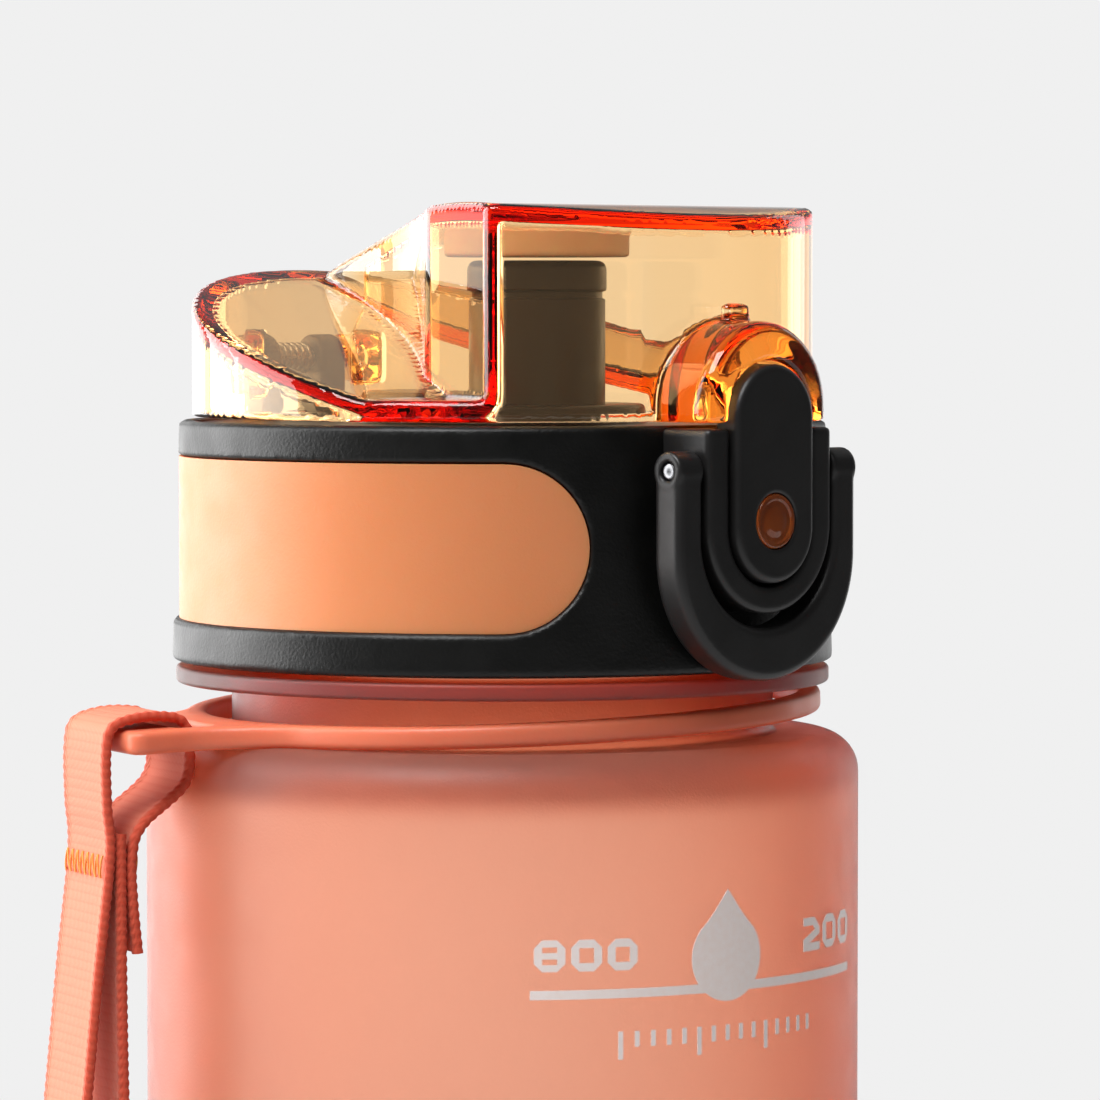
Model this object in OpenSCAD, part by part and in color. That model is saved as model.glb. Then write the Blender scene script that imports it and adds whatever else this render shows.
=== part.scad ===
// Flip-top sports bottle: screw lid, push-button latch, lock bail and a webbing carry strap.
// The origin is the centre of the base. +Z is up, the latch faces -Y and the cover's hinge is at +Y.

/* [Bottle] */
// Outer diameter of the bottle body
body_d = 85; // [78:1:104]
// Height from the base to the top of the shoulder
body_h = 202.4; // [160:0.1:250]
// Wall of the bottle body
body_wall = 2; // [1.4:0.1:3]
// Radius of the rounded shoulder
shoulder_r = 9.5; // [8:0.5:12]
// Radius of the rounded edge of the base
base_r = 6; // [3:0.5:8]
// Rise of the recess under the base
punt_h = 2.5; // [1:0.5:4]
// Width of the flat ring that the bottle stands on
foot_w = 3.5; // [2:0.5:8]
// Thickness of the neck flange
flange_t = 2; // [1.5:0.1:3]
// Height of the threaded neck above the flange
finish_h = 18.6; // [15:0.1:24]
// Wall of the threaded neck
neck_wall = 2.5; // [2:0.1:3.5]

/* [Thread] */
// Rise of the thread in one turn
thread_pitch = 4.5; // [4:0.1:6]
// Height of the thread ridge
thread_depth = 1.2; // [0.9:0.1:1.5]
// Turns of thread on the neck
thread_turns = 1.5; // [1:0.25:2]
// Radial gap between a ridge's crest and the wall that it faces
thread_gap = 0.5; // [0.3:0.1:0.8]

/* [Lid] */
// Wall of the screw core
core_wall = 4.1; // [3:0.1:6]
// Thickness of the core's top plate
core_top_t = 2.6; // [2:0.1:4]
// Height of the space between the core's plate and the deck
head_room = 2.75; // [2.35:0.05:5]
// Wall of the grip sleeve at its top
sleeve_wall = 2.2; // [1.6:0.1:3]
// Growth of the sleeve's radius from its top to its bottom
sleeve_draft = 0.8; // [0:0.1:1.5]
// Gap between the sleeve and the neck flange
lid_gap = 0.6; // [0.4:0.1:1.2]
// Height of the sleeve's band under each grip window
window_rise = 5; // [3.5:0.1:8]
// Depth of a window's top edge below the deck's underside
window_drop = 0.9; // [0.3:0.1:3]
// Angle between the centres of a window's round ends
window_arc = 94; // [70:1:104]
// Depth of the window's surface below the sleeve's surface
window_recess = 0.4; // [0.2:0.1:1]
// Thickness of the deck
deck_t = 3; // [2:0.1:4]
// Radius of the deck's raised middle
deck_boss_r = 17; // [13:0.5:20]
// Height of the deck's raised middle
deck_boss_h = 2.2; // [1:0.1:3]
// Thickness of the silicone gasket on the neck
gasket_t = 1.8; // [1.2:0.1:2.6]

/* [Spout] */
// Outer radius of the spout
spout_r = 7.6; // [6:0.1:9]
// Radius of the drinking bore
spout_bore_r = 5.2; // [4:0.1:6]
// Height of the spout above the sleeve
spout_h = 18.9; // [14:0.1:20]
// Distance of the spout from the lid's axis, towards the latch
spout_offset = 6.9; // [4:0.1:9]
// Radius of the silicone plug under the cover's roof
plug_r = 10.3; // [9:0.1:12]

/* [Cover] */
// Wall of the transparent cover
cover_wall = 2; // [1.5:0.1:2.5]
// Height of the cover's crest above the sleeve
cover_h = 25.5; // [23:0.1:31]
// Step in from the sleeve's top radius to the cover
cover_step = 1.6; // [1:0.1:3]
// Gap between the cover and the sleeve
cover_gap = 0.4; // [0.3:0.1:0.8]
// Height of the space under the scoop's floor
scoop_space = 0.5; // [0.3:0.1:1.5]
// Slope of the scoop's floor as it climbs to the hinge, in degrees
scoop_slope = 17; // [12:1:18]

/* [Latch] */
// Half width of the latch housing
housing_w = 10.1; // [9.5:0.1:11]
// How far the housing stands out of the sleeve's top edge
housing_out = 6; // [5.5:0.1:8]
// Half width of the button
button_w = 6.3; // [5:0.1:6.6]
// Height of the button
button_h = 25; // [22:0.5:27]
// Radius of the amber disc in the button
disc_r = 3.1; // [2:0.1:4]
// Radius of the steel latch pin
latch_pin_r = 1; // [0.8:0.1:1.3]
// Travel of the button, in degrees
button_travel = 5; // [3:1:6]

/* [Bail] */
// Half width of the bail, outside
bail_w = 14.5; // [14:0.1:17]
// Reach of the bail from its pivot
bail_reach = 24.2; // [23.5:0.1:28]
// Width of the bail's bottom bar
bail_bar = 6.1; // [4:0.1:6.3]
// Depth of the bail, front to back
bail_t = 4.5; // [3.6:0.1:4.6]

/* [Hinge] */
// Radius of the hinge knuckles
knuckle_r = 2.9; // [2.4:0.1:3]
// Radius of the steel hinge pin
hinge_pin_r = 1; // [0.8:0.1:1.3]
// Length of each bracket ear
ear_w = 4; // [3:0.5:5]

/* [Strap] */
// Thickness of the strap ring
ring_t = 2.7; // [2:0.1:3]
// Width of the ring's band
ring_w = 2.8; // [2:0.1:3.4]
// Tilt of the ring towards its lug, in degrees
ring_tilt = 2.3; // [0:0.1:2.5]
// Gap between the tilted ring's high side and the neck flange
ring_play = 0.5; // [0.3:0.1:2]
// Direction of the lug about the bottle's axis, in degrees
lug_dir = 162; // [90:1:200]
// Half width of the lug
lug_w = 9.8; // [8.5:0.1:12]
// Radius of the curve from the ring into each side of the lug
lug_fillet = 9; // [4:0.5:12]
// Width of the webbing
web_w = 13; // [10:0.5:15]
// Thickness of the webbing
web_t = 1.2; // [0.9:0.1:1.25]
// Drop of the strap's loop below its stitching
loop_drop = 128; // [90:1:150]

/* [Fits] */
// Running clearance of a pin in its hole
pin_fit = 0.04; // [0.02:0.01:0.08]
// Gap between pieces that move past each other
move_gap = 0.4; // [0.3:0.05:0.6]
// Gap between pieces that are fitted together
seat_gap = 0.05; // [0.02:0.01:0.1]

/* [Hidden] */
$fn = 96;
cut = 1;
// Keeps a round end just inside the straight band that it closes
hair = 0.02;

// Ring: it lies tilted on the shoulder, under the neck flange
body_r = body_d / 2;
ring_out = body_r - 4.5;
ring_in = ring_out - ring_w;
ring_lift = 0.13;
shoulder_drop = shoulder_r - sqrt(pow(shoulder_r, 2) - pow(max(0, ring_in - body_r + shoulder_r), 2));
ring_z = body_h - shoulder_drop + ring_lift + ring_t / 2 + ring_in * sin(ring_tilt);

// Bottle and neck
ledge = 0.7;
neck_step = 1.8;
neck_r = body_r - shoulder_r - ledge;
flange_z = ring_z + ring_t / 2 + ring_out * sin(ring_tilt) + ring_play;
finish_z = flange_z + flange_t;
neck_top = finish_z + finish_h;
finish_r = neck_r - neck_step;
mouth_r = finish_r - neck_wall;
foot_r = body_r - base_r;
punt_r = foot_r - foot_w;

// Thread section: where it starts above the flange, its width at the root and at the crest
thread_low = 5.2;
root_w = 2.2;
crest_w = 1.1;

// Lid
core_bore = finish_r + thread_depth + thread_gap;
core_r = core_bore + core_wall;
sleeve_in = core_r + seat_gap;
sleeve_top_r = sleeve_in + sleeve_wall;
sleeve_low_r = sleeve_top_r + sleeve_draft;
flange_inset = 0.4;
flange_r = sleeve_low_r - flange_inset;
plate_z = neck_top + gasket_t + seat_gap;
plate_top = plate_z + core_top_t;
deck_z = plate_top + head_room;
deck_drop = 0.3;
sleeve_z = finish_z + lid_gap;
sleeve_top = deck_z + deck_t + deck_drop;
sleeve_h = sleeve_top - sleeve_z;
sleeve_bevel = 0.8;
core_z = sleeve_z + 0.4;
window_low = sleeve_z + window_rise;
window_h = deck_z - window_drop - window_low;
window_z = window_low + window_h / 2;
gasket_inset = 0.3;
pad_r = sleeve_top_r + sleeve_draft / 2 - window_recess;

// Spout, its flange under the deck and its gasket
spout_y = -spout_offset;
spout_top = sleeve_top + spout_h;
spout_flange_r = spout_r + 2.4;
spout_flange_t = 1.8;
spout_groove = 4.6;
spout_hole_r = spout_bore_r + 0.6;

// Cover
cover_r = sleeve_top_r - cover_step;
cover_z = sleeve_top + cover_gap;
cover_top = sleeve_top + cover_h;
crest_y = -0.43 * cover_r;
roof_r = 4.05 * cover_r;
scoop_r = 2.05 * cover_r;
scoop_x = -2.03 * cover_r;
scoop_y = 1.19 * cover_r;
facet_x = -0.47 * cover_r;
facet_y = -0.11 * cover_r;
facet_turn = 23.4;
knee_y = -0.35 * cover_r;
floor_z = cover_z + cover_wall + scoop_space;

// Latch: one pin carries both the button and the bail
pin_y = -(sleeve_top_r + 3.6);
pin_z = sleeve_top - 5;
housing_y = -(sleeve_top_r + housing_out);
housing_top = sleeve_top - 0.3;
housing_low = sleeve_top - 21.5;
slot_w = button_w + move_gap;
slot_y = -(sleeve_low_r + 0.25);
button_low = sleeve_top - 18;
button_top = button_low + button_h;
button_y = housing_y - 0.9;
button_back = pin_y + 0.6;
boss_r = latch_pin_r + 1.3;
disc_z = sleeve_top - 10.9;
disc_t = 1.3;
arch_in = button_w + 0.35;
arch_in_z = button_top - button_w + 0.05;
arch_top = button_top + 4.9;
arch_w = bail_in() - 0.8;
pocket_y = -(cover_r + 2.6);
tab_y = pin_y + bail_t / 2 + 0.35;
spring_wire = 0.25;
spring_r = 1.6;

// Hinge
hinge_y = cover_r + knuckle_r + 0.35;
hinge_z = sleeve_top + 5.5;
ear_x = 3.5;
ear_root = 2.5;
lug_x = ear_x + ear_w + 0.3;
lug_l = 4;

// Strap, in the lug's own plane: x runs out along the lug, z is up
tip_x = body_r + 9;
bar_w = 7;
slot_in = tip_x - bar_w - 3.8;
bar_x = tip_x - bar_w / 2;
bar_z = ring_z - bar_x * sin(ring_tilt);
layer = web_t + 0.15;
tack_x = tip_x - 0.1;
tack_z = bar_z - 13.4;
tack_r = 1.5 * layer + 0.1;
tack_gap = tack_r + 1.1;

function bail_in() = bail_w - 3.9;
function arc_points(r, a, b, n) = [for (i = [0:n]) r * [cos(a + (b - a) * i / n), sin(a + (b - a) * i / n)]];

// Unit direction along a path at point i, and the two edges of a band of thickness t along it
function along(p, i) = let (d = p[min(i + 1, len(p) - 1)] - p[max(i - 1, 0)]) d / norm(d);
function edge(p, o) = [for (i = [0:len(p) - 1]) p[i] + o * [-along(p, i).y, along(p, i).x]];
function backwards(p) = [for (i = [len(p) - 1:-1:0]) p[i]];
function band(p, t) = concat(edge(p, t / 2), backwards(edge(p, -t / 2)));

// A smooth curve through a list of points, with k steps between each pair
function through(p, k) = concat([for (i = [0:len(p) - 2]) for (j = [0:k - 1]) blend4(p, i, j / k)], [p[len(p) - 1]]);
function blend4(p, i, u) =
    let (a = p[max(i - 1, 0)], b = p[i], c = p[i + 1], d = p[min(i + 2, len(p) - 1)])
    0.5 * (2 * b + (c - a) * u + (2 * a - 5 * b + 4 * c - d) * u * u + (3 * b - 3 * c + d - a) * u * u * u);

// Route of the webbing over the lug's bar, and of the loop that hangs from it
wrap_route = [[tack_x - layer, tack_z], [tack_x - 2.6, tack_z + 3.6], [bar_x - 4.5, tack_z + 8.2],
              [bar_x - 5.1, bar_z - 0.6], [bar_x - 4.2, bar_z + 2.1], [bar_x - 1.2, bar_z + 2.75],
              [bar_x + 2.2, bar_z + 2.5], [bar_x + 4.6, bar_z + 1.4], [bar_x + 5.2, bar_z - 1.6],
              [bar_x + 5.1, tack_z + 6], [tack_x + layer, tack_z]];
loop_out = [[tack_x + layer, tack_z], [tack_x + 2.9, tack_z - 14], [tack_x + 4.5, tack_z - 30],
            [tack_x + 7.1, tack_z - 0.42 * loop_drop], [tack_x + 10.1, tack_z - 0.66 * loop_drop],
            [tack_x + 11.4, tack_z - 0.82 * loop_drop], [tack_x + 9.6, tack_z - 0.94 * loop_drop],
            [tack_x + 4.6, tack_z - loop_drop], [tack_x - 1.4, tack_z - 0.97 * loop_drop],
            [tack_x - 4.1, tack_z - 0.88 * loop_drop], [tack_x - 4, tack_z - 0.73 * loop_drop],
            [tack_x - 2.5, tack_z - 0.53 * loop_drop], [tack_x - 0.9, tack_z - 0.34 * loop_drop],
            [tack_x - 0.3, tack_z - 28], [tack_x - 0.05, tack_z - 12], [tack_x, tack_z]];
tail_route = [[tack_x - layer, tack_z], [tack_x - layer - 0.1, tack_z - 5], [tack_x - layer - 0.7, tack_z - 11]];

// A rectangle with a round at its upper and lower outer corners, as half of a turned outline
module turned_block(r, z0, z1, low, high) {
    translate([0, z0]) square([r - low, low + cut]);
    translate([0, z0 + low]) square([r, z1 - high - z0 - low]);
    translate([0, z1 - high - cut]) square([r - high, high + cut]);
    translate([r - low, z0 + low]) circle(low);
    translate([r - high, z1 - high]) circle(high);
}

// A helical ridge from r_root to r_crest that fades out at both ends
module thread_ridge(r_root, r_crest, z0, turns, w_root, w_crest) {
    steps = ceil(turns * 36);
    way = sign(r_crest - r_root);
    rings = [for (i = [0:steps])
        let (a = 360 * turns * i / steps, z = z0 + thread_pitch * turns * i / steps,
             fade = min(1, i / 4, (steps - i) / 4), r = r_root + (r_crest - r_root) * fade,
             w = w_crest / 2, in = r_root - way * 0.4)
        [[in, -w_root / 2], [r, -w - 0.01], [r, w + 0.01], [in, w_root / 2]]];
    points = [for (i = [0:steps]) for (q = rings[i])
        let (a = 360 * turns * i / steps)
        [q.x * cos(a), q.x * sin(a), z0 + thread_pitch * turns * i / steps + q.y]];
    sides = [for (i = [0:steps - 1]) for (j = [0:3])
        let (a = 4 * i + j, b = 4 * i + (j + 1) % 4)
        way > 0 ? [a, b, b + 4, a + 4] : [a, a + 4, b + 4, b]];
    last = 4 * steps;
    caps = way > 0 ? [[3, 2, 1, 0], [last, last + 1, last + 2, last + 3]]
                   : [[0, 1, 2, 3], [last + 3, last + 2, last + 1, last]];
    polyhedron(points, concat(sides, caps), convexity = 6);
}

// A coil of round wire along +Z
module wire_coil(r, wire, length, turns) {
    n = ceil(turns * 14);
    m = 6;
    points = [for (i = [0:n]) for (j = [0:m - 1])
        let (a = 360 * turns * i / n, b = 360 * j / m, q = r + wire * cos(b))
        [q * cos(a), q * sin(a), wire + (length - 2 * wire) * i / n + wire * sin(b)]];
    sides = [for (i = [0:n - 1]) for (j = [0:m - 1])
        let (a = m * i + j, b = m * i + (j + 1) % m) [a, b, b + m, a + m]];
    polyhedron(points, concat(sides, [[for (j = [m - 1:-1:0]) j], [for (j = [0:m - 1]) m * n + j]]), convexity = 8);
}

// A solid of the window's shape between two radii, grown all round by g
module window_shape(r0, r1, g) {
    h = window_h + 2 * g;
    rotate([0, 0, 180 - window_arc / 2])
        rotate_extrude(angle = window_arc)
            translate([r0, window_z - h / 2]) square([r1 - r0, h]);
    for (a = [-1, 1])
        rotate([0, 0, 180 + a * window_arc / 2])
            translate([r0, 0, window_z]) rotate([0, 90, 0]) cylinder(r = h / 2 - hair, h = r1 - r0);
}

module both_sides() {
    children();
    mirror([1, 0, 0]) children();
}

// A flat outline in x and z, extruded from y0 to y1
module plate(y0, y1) {
    translate([0, y1, 0]) rotate([90, 0, 0]) linear_extrude(y1 - y0) children();
}

// A shape closed at its bottom by a half circle
module cup_outline(w, low, z1) {
    translate([-w, low + w]) square([2 * w, z1 - low - w]);
    translate([0, low + w])
        intersection() {
            circle(w);
            translate([-2 * w, -2 * w]) square([4 * w, 2 * w]);
        }
}

// The same shape upside down
module arch_outline(w, z0, top) {
    mirror([0, 1]) cup_outline(w, -top, -z0);
}

module pin_bore(y, z, r, x0, x1) {
    translate([x0, y, z]) rotate([0, 90, 0]) cylinder(r = r, h = x1 - x0);
}

// The sleeve's outside as a solid, which what stands on the sleeve is cut to
module sleeve_cone() {
    rotate_extrude()
        polygon([[0, sleeve_z - cut], [sleeve_low_r, sleeve_z - cut], [sleeve_low_r, sleeve_z + sleeve_bevel],
                 [sleeve_top_r, sleeve_top - sleeve_bevel], [sleeve_top_r, sleeve_top], [0, sleeve_top]]);
}

module bottle_body() {
    color("salmon", 0.8)
    union() {
        difference() {
            rotate_extrude() {
                turned_block(body_r, 0, body_h, base_r, shoulder_r);
                square([neck_r, flange_z + cut / 2]);
                translate([0, flange_z]) square([flange_r, flange_t]);
                translate([0, flange_z]) square([finish_r, neck_top - flange_z]);
            }
            rotate_extrude() {
                difference() {
                    turned_block(body_r - body_wall, body_wall, body_h - body_wall, base_r - body_wall,
                                 shoulder_r - body_wall);
                    square([punt_r + body_wall, punt_h + body_wall]);
                }
                translate([0, body_h - shoulder_r]) square([mouth_r, neck_top]);
            }
            translate([0, 0, -cut]) cylinder(r1 = punt_r + 0.8, r2 = punt_r - 2, h = punt_h + cut);
        }
        thread_ridge(finish_r, finish_r + thread_depth, finish_z + thread_low, thread_turns, root_w, crest_w);
    }
}

module neck_gasket() {
    color("white")
    translate([0, 0, neck_top + seat_gap / 2])
        difference() {
            cylinder(r = core_bore - gasket_inset, h = gasket_t);
            translate([0, 0, -cut]) cylinder(r = mouth_r + gasket_inset, h = gasket_t + 2 * cut);
        }
}

module lid_core() {
    color("peachpuff")
    union() {
        difference() {
            union() {
                translate([0, 0, core_z]) cylinder(r = core_r, h = deck_z - core_z);
                intersection() {
                    both_sides() window_shape(core_r - 1, pad_r + 1, -seat_gap);
                    cylinder(r = pad_r, h = sleeve_top);
                }
            }
            translate([0, 0, core_z - cut]) cylinder(r = core_bore, h = plate_z - core_z + cut);
            translate([0, 0, plate_top]) cylinder(r = core_bore + 1, h = deck_z - plate_top + cut);
            translate([0, spout_y, plate_z - cut]) cylinder(r = spout_hole_r, h = core_top_t + 2 * cut);
        }
        thread_ridge(core_bore, core_bore - thread_depth, finish_z + thread_low - thread_pitch / 2, 1, root_w, crest_w);
    }
}

module grip_sleeve() {
    color([0.1, 0.1, 0.11])
    difference() {
        rotate_extrude()
            polygon([[sleeve_in, sleeve_z], [sleeve_low_r - sleeve_bevel, sleeve_z],
                     [sleeve_low_r, sleeve_z + sleeve_bevel], [sleeve_top_r, sleeve_top - sleeve_bevel],
                     [sleeve_top_r - sleeve_bevel, sleeve_top], [sleeve_in, sleeve_top]]);
        both_sides() window_shape(core_r - 2, sleeve_low_r + 2, 0);
    }
}

module top_deck() {
    color([0.12, 0.12, 0.13])
    difference() {
        union() {
            translate([0, 0, deck_z]) cylinder(r = core_r, h = deck_t);
            translate([0, 0, deck_z]) cylinder(r = deck_boss_r, h = deck_t + deck_boss_h);
        }
        translate([0, spout_y, deck_z - cut]) cylinder(r = spout_r + seat_gap, h = deck_t + deck_boss_h + 2 * cut);
    }
}

module spout() {
    groove_z = spout_top - spout_groove;
    color([0.1, 0.1, 0.1])
    translate([0, spout_y, 0])
        difference() {
            rotate_extrude()
                polygon([[0, deck_z - seat_gap - spout_flange_t], [spout_flange_r, deck_z - seat_gap - spout_flange_t],
                         [spout_flange_r, deck_z - seat_gap], [spout_r - 0.2, deck_z - seat_gap],
                         [spout_r - 0.2, groove_z], [spout_r, groove_z + 0.2], [spout_r, spout_top - 1.2],
                         [spout_r - 0.4, spout_top - 0.4], [spout_r - 1.2, spout_top], [0, spout_top]]);
            translate([0, 0, plate_top]) cylinder(r = spout_bore_r, h = spout_top);
        }
}

module spout_gasket() {
    color("white")
    translate([0, spout_y, plate_top + seat_gap / 2])
        difference() {
            cylinder(r = spout_flange_r - 0.4, h = deck_z - spout_flange_t - plate_top - 2 * seat_gap);
            translate([0, 0, -cut]) cylinder(r = spout_hole_r, h = deck_z);
        }
}

module latch_housing() {
    color([0.1, 0.1, 0.1])
    difference() {
        plate(housing_y, -sleeve_in) cup_outline(housing_w, housing_low, housing_top);
        sleeve_cone();
        plate(housing_y - cut, slot_y) cup_outline(slot_w, button_low - move_gap, housing_top + cut);
        pin_bore(pin_y, pin_z, latch_pin_r + seat_gap, -housing_w - cut, housing_w + cut);
    }
}

module latch_pin() {
    color("silver")
    pin_bore(pin_y, pin_z, latch_pin_r, -bail_w + 0.3, bail_w - 0.3);
}

module release_button() {
    color([0.08, 0.08, 0.08])
    difference() {
        union() {
            plate(button_y, button_back) cup_outline(button_w, button_low, disc_z);
            plate(button_y, button_back) arch_outline(button_w, disc_z, button_top);
            pin_bore(pin_y, pin_z, boss_r, -button_w, button_w);
            translate([-3, button_back - cut, button_top - 3.4]) cube([6, 0.9 + cut, 2]);
        }
        pin_bore(pin_y, pin_z, latch_pin_r + pin_fit, -button_w - cut, button_w + cut);
        translate([0, button_y + disc_t, disc_z]) rotate([90, 0, 0]) cylinder(r = disc_r + seat_gap, h = disc_t + cut);
    }
}

module button_disc() {
    color("darkorange")
    translate([0, button_y + disc_t - seat_gap, disc_z]) rotate([90, 0, 0]) cylinder(r = disc_r, h = disc_t);
}

module button_spring() {
    color("silver")
    translate([0, slot_y - seat_gap, disc_z - 2])
        rotate([90, 0, 0])
            wire_coil(spring_r, spring_wire, slot_y - button_back - 2 * seat_gap, 3);
}

module lock_bail() {
    color([0.13, 0.13, 0.13])
    difference() {
        union() {
            plate(pin_y - bail_t / 2, pin_y + bail_t / 2)
                difference() {
                    cup_outline(bail_w, pin_z - bail_reach, pin_z);
                    cup_outline(bail_in(), pin_z - bail_reach + bail_bar, pin_z + cut);
                }
            for (s = [-1, 1])
                pin_bore(pin_y, pin_z, bail_t / 2, s > 0 ? bail_in() : -bail_w, s > 0 ? bail_w : -bail_in());
        }
        pin_bore(pin_y, pin_z, latch_pin_r + pin_fit, -bail_w - cut, bail_w + cut);
    }
}

module hinge_bracket() {
    half = ear_x + ear_w;
    color([0.1, 0.1, 0.1])
    difference() {
        union() {
            plate(sleeve_in, hinge_y + knuckle_r) cup_outline(half, sleeve_top - 14.5, sleeve_top - deck_drop);
            for (x = [-half, ear_x])
                translate([x, 0, 0]) {
                    pin_bore(hinge_y, hinge_z, knuckle_r, 0, ear_w);
                    translate([0, hinge_y - knuckle_r, sleeve_top - ear_root])
                        cube([ear_w, 2 * knuckle_r, hinge_z - sleeve_top + ear_root]);
                }
        }
        sleeve_cone();
        pin_bore(hinge_y, hinge_z, hinge_pin_r + seat_gap, -half - cut, half + cut);
    }
}

module hinge_pin() {
    color("silver")
    pin_bore(hinge_y, hinge_z, hinge_pin_r, -lug_x - lug_l + 0.2, lug_x + lug_l - 0.2);
}

module hinge_spring() {
    color("silver")
    translate([-ear_x + 0.3, hinge_y, hinge_z]) rotate([0, 90, 0])
        wire_coil(hinge_pin_r + 0.65, 0.3, 2 * ear_x - 0.6, 6);
}

// The large cylinder along X whose top is the cover's roof, stepped inwards by t
module roof_cylinder(t, half) {
    pin_bore(crest_y, cover_top - roof_r, roof_r - t, -half, half, $fn = 360);
}

// The cover's outer form, stepped inwards by t on every side but the bottom
module cover_form(t) {
    low_drop = t / cos(scoop_slope);
    rear = 2 * cover_r;
    intersection() {
        translate([0, 0, cover_z - cut]) cylinder(r = cover_r - t, h = cover_h + 2 * cut);
        union() {
            translate([-rear / 2, 0, 0]) rotate([90, 0, 90]) linear_extrude(rear)
                polygon([[-rear, cover_z - 2 * cut], [rear, cover_z - 2 * cut],
                         [rear, floor_z - low_drop + (rear - knee_y) * tan(scoop_slope)],
                         [knee_y, floor_z - low_drop], [-rear, floor_z - low_drop]]);
            difference() {
                roof_cylinder(t, rear / 2);
                translate([-rear, -3 * rear, cover_z - 7 * rear]) cube([2 * rear, 6 * rear, 7 * rear - 2 * cut]);
                both_sides() {
                    translate([scoop_x, scoop_y, cover_z - 3 * cut]) cylinder(r = scoop_r + t, h = 2 * cover_h);
                    translate([facet_x, facet_y, cover_z - 3 * cut]) rotate([0, 0, -facet_turn])
                        translate([t - rear, -rear, 0]) cube([rear, 2 * rear, 2 * cover_h]);
                }
            }
        }
    }
}

module flip_cover() {
    color("orange", 0.45)
    difference() {
        union() {
            intersection() {
                cover_form(0);
                translate([0, 0, cover_z]) cylinder(r = 2 * cover_r, h = 2 * cover_h);
            }
            plate(housing_y, -0.9 * cover_r) arch_outline(arch_w, cover_z, arch_top);
            translate([-1.9, tab_y, arch_top - 1]) cube([3.8, 1.6, 3]);
            both_sides() {
                pin_bore(hinge_y, hinge_z, knuckle_r, lug_x, lug_x + lug_l);
                translate([lug_x, 0.92 * cover_r, hinge_z - knuckle_r])
                    cube([lug_l, hinge_y - 0.92 * cover_r, 2 * knuckle_r]);
            }
        }
        cover_form(cover_wall);
        plate(housing_y - cut, pocket_y) arch_outline(arch_in, cover_z - cut, arch_in_z + arch_in);
        pin_bore(hinge_y, hinge_z, hinge_pin_r + pin_fit, -lug_x - 2 * lug_l, lug_x + 2 * lug_l);
    }
}

module spout_plug() {
    color("tan")
    intersection() {
        roof_cylinder(cover_wall + seat_gap, cover_r);
        translate([0, spout_y, spout_top + move_gap]) cylinder(r = plug_r, h = cover_h);
    }
}

// Turns the lug's own x, z plane to its direction about the bottle
module at_lug() {
    rotate([0, 0, lug_dir]) children();
}

module web(points) {
    translate([0, web_w / 2, 0]) rotate([90, 0, 0]) linear_extrude(web_w) polygon(points);
}

// The curves from the ring into the two sides of the lug
module lug_fillets() {
    y = lug_w + lug_fillet;
    x = sqrt(pow(ring_out + lug_fillet, 2) - pow(y, 2));
    k = ring_out / (ring_out + lug_fillet);
    for (s = [0, 1])
        mirror([0, s])
            difference() {
                polygon([[k * x, 0], [x, 0], [x, y], [k * x, k * y]]);
                translate([x, y]) circle(lug_fillet);
            }
}

module strap_ring() {
    tip_r = 2;
    color("coral")
    at_lug() translate([0, 0, ring_z]) rotate([0, ring_tilt, 0]) translate([0, 0, -ring_t / 2])
        linear_extrude(ring_t)
            difference() {
                union() {
                    circle(ring_out);
                    lug_fillets();
                    translate([ring_in, -lug_w]) square([tip_x - tip_r - ring_in, 2 * lug_w]);
                    translate([ring_in, tip_r - lug_w]) square([tip_x - ring_in, 2 * lug_w - 2 * tip_r]);
                    for (s = [-1, 1])
                        translate([tip_x - tip_r, s * (lug_w - tip_r)]) circle(tip_r);
                }
                circle(ring_in);
                translate([slot_in, -web_w / 2 - 1]) square([tip_x - bar_w - slot_in, web_w + 2]);
            }
}

module strap_wrap() {
    color("coral")
    at_lug()
        difference() {
            web(band(through(wrap_route, 3), web_t));
            translate([tack_x, 0, tack_z]) rotate([90, 0, 0]) cylinder(r = tack_gap, h = 2 * web_w, center = true);
        }
}

module strap_loop() {
    color("coral")
    at_lug() {
        web(band(through(loop_out, 3), web_t));
        web(band(tail_route, web_t));
        translate([tack_x, 0, tack_z]) rotate([90, 0, 0]) cylinder(r = tack_r, h = web_w, center = true);
    }
}

module strap_stitching() {
    stitches = 9;
    stitch_out = 0.6;
    pitch = (web_w - 2) / stitches;
    color("orange")
    at_lug()
        for (i = [0:stitches - 1])
            translate([tack_x + tack_r + stitch_out, (i - (stitches - 1) / 2) * pitch, tack_z - 3.4])
                cube([0.3, pitch * 0.6, 2.6], center = true);
}

bottle_body();
neck_gasket();
lid_core();
grip_sleeve();
top_deck();
spout();
spout_gasket();
latch_housing();
latch_pin();
release_button();
button_disc();
button_spring();
lock_bail();
hinge_bracket();
hinge_pin();
hinge_spring();
flip_cover();
spout_plug();
strap_ring();
strap_wrap();
strap_loop();
strap_stitching();
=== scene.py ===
import math

import bmesh
import bpy
import numpy as np
from mathutils import Matrix, Vector


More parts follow.
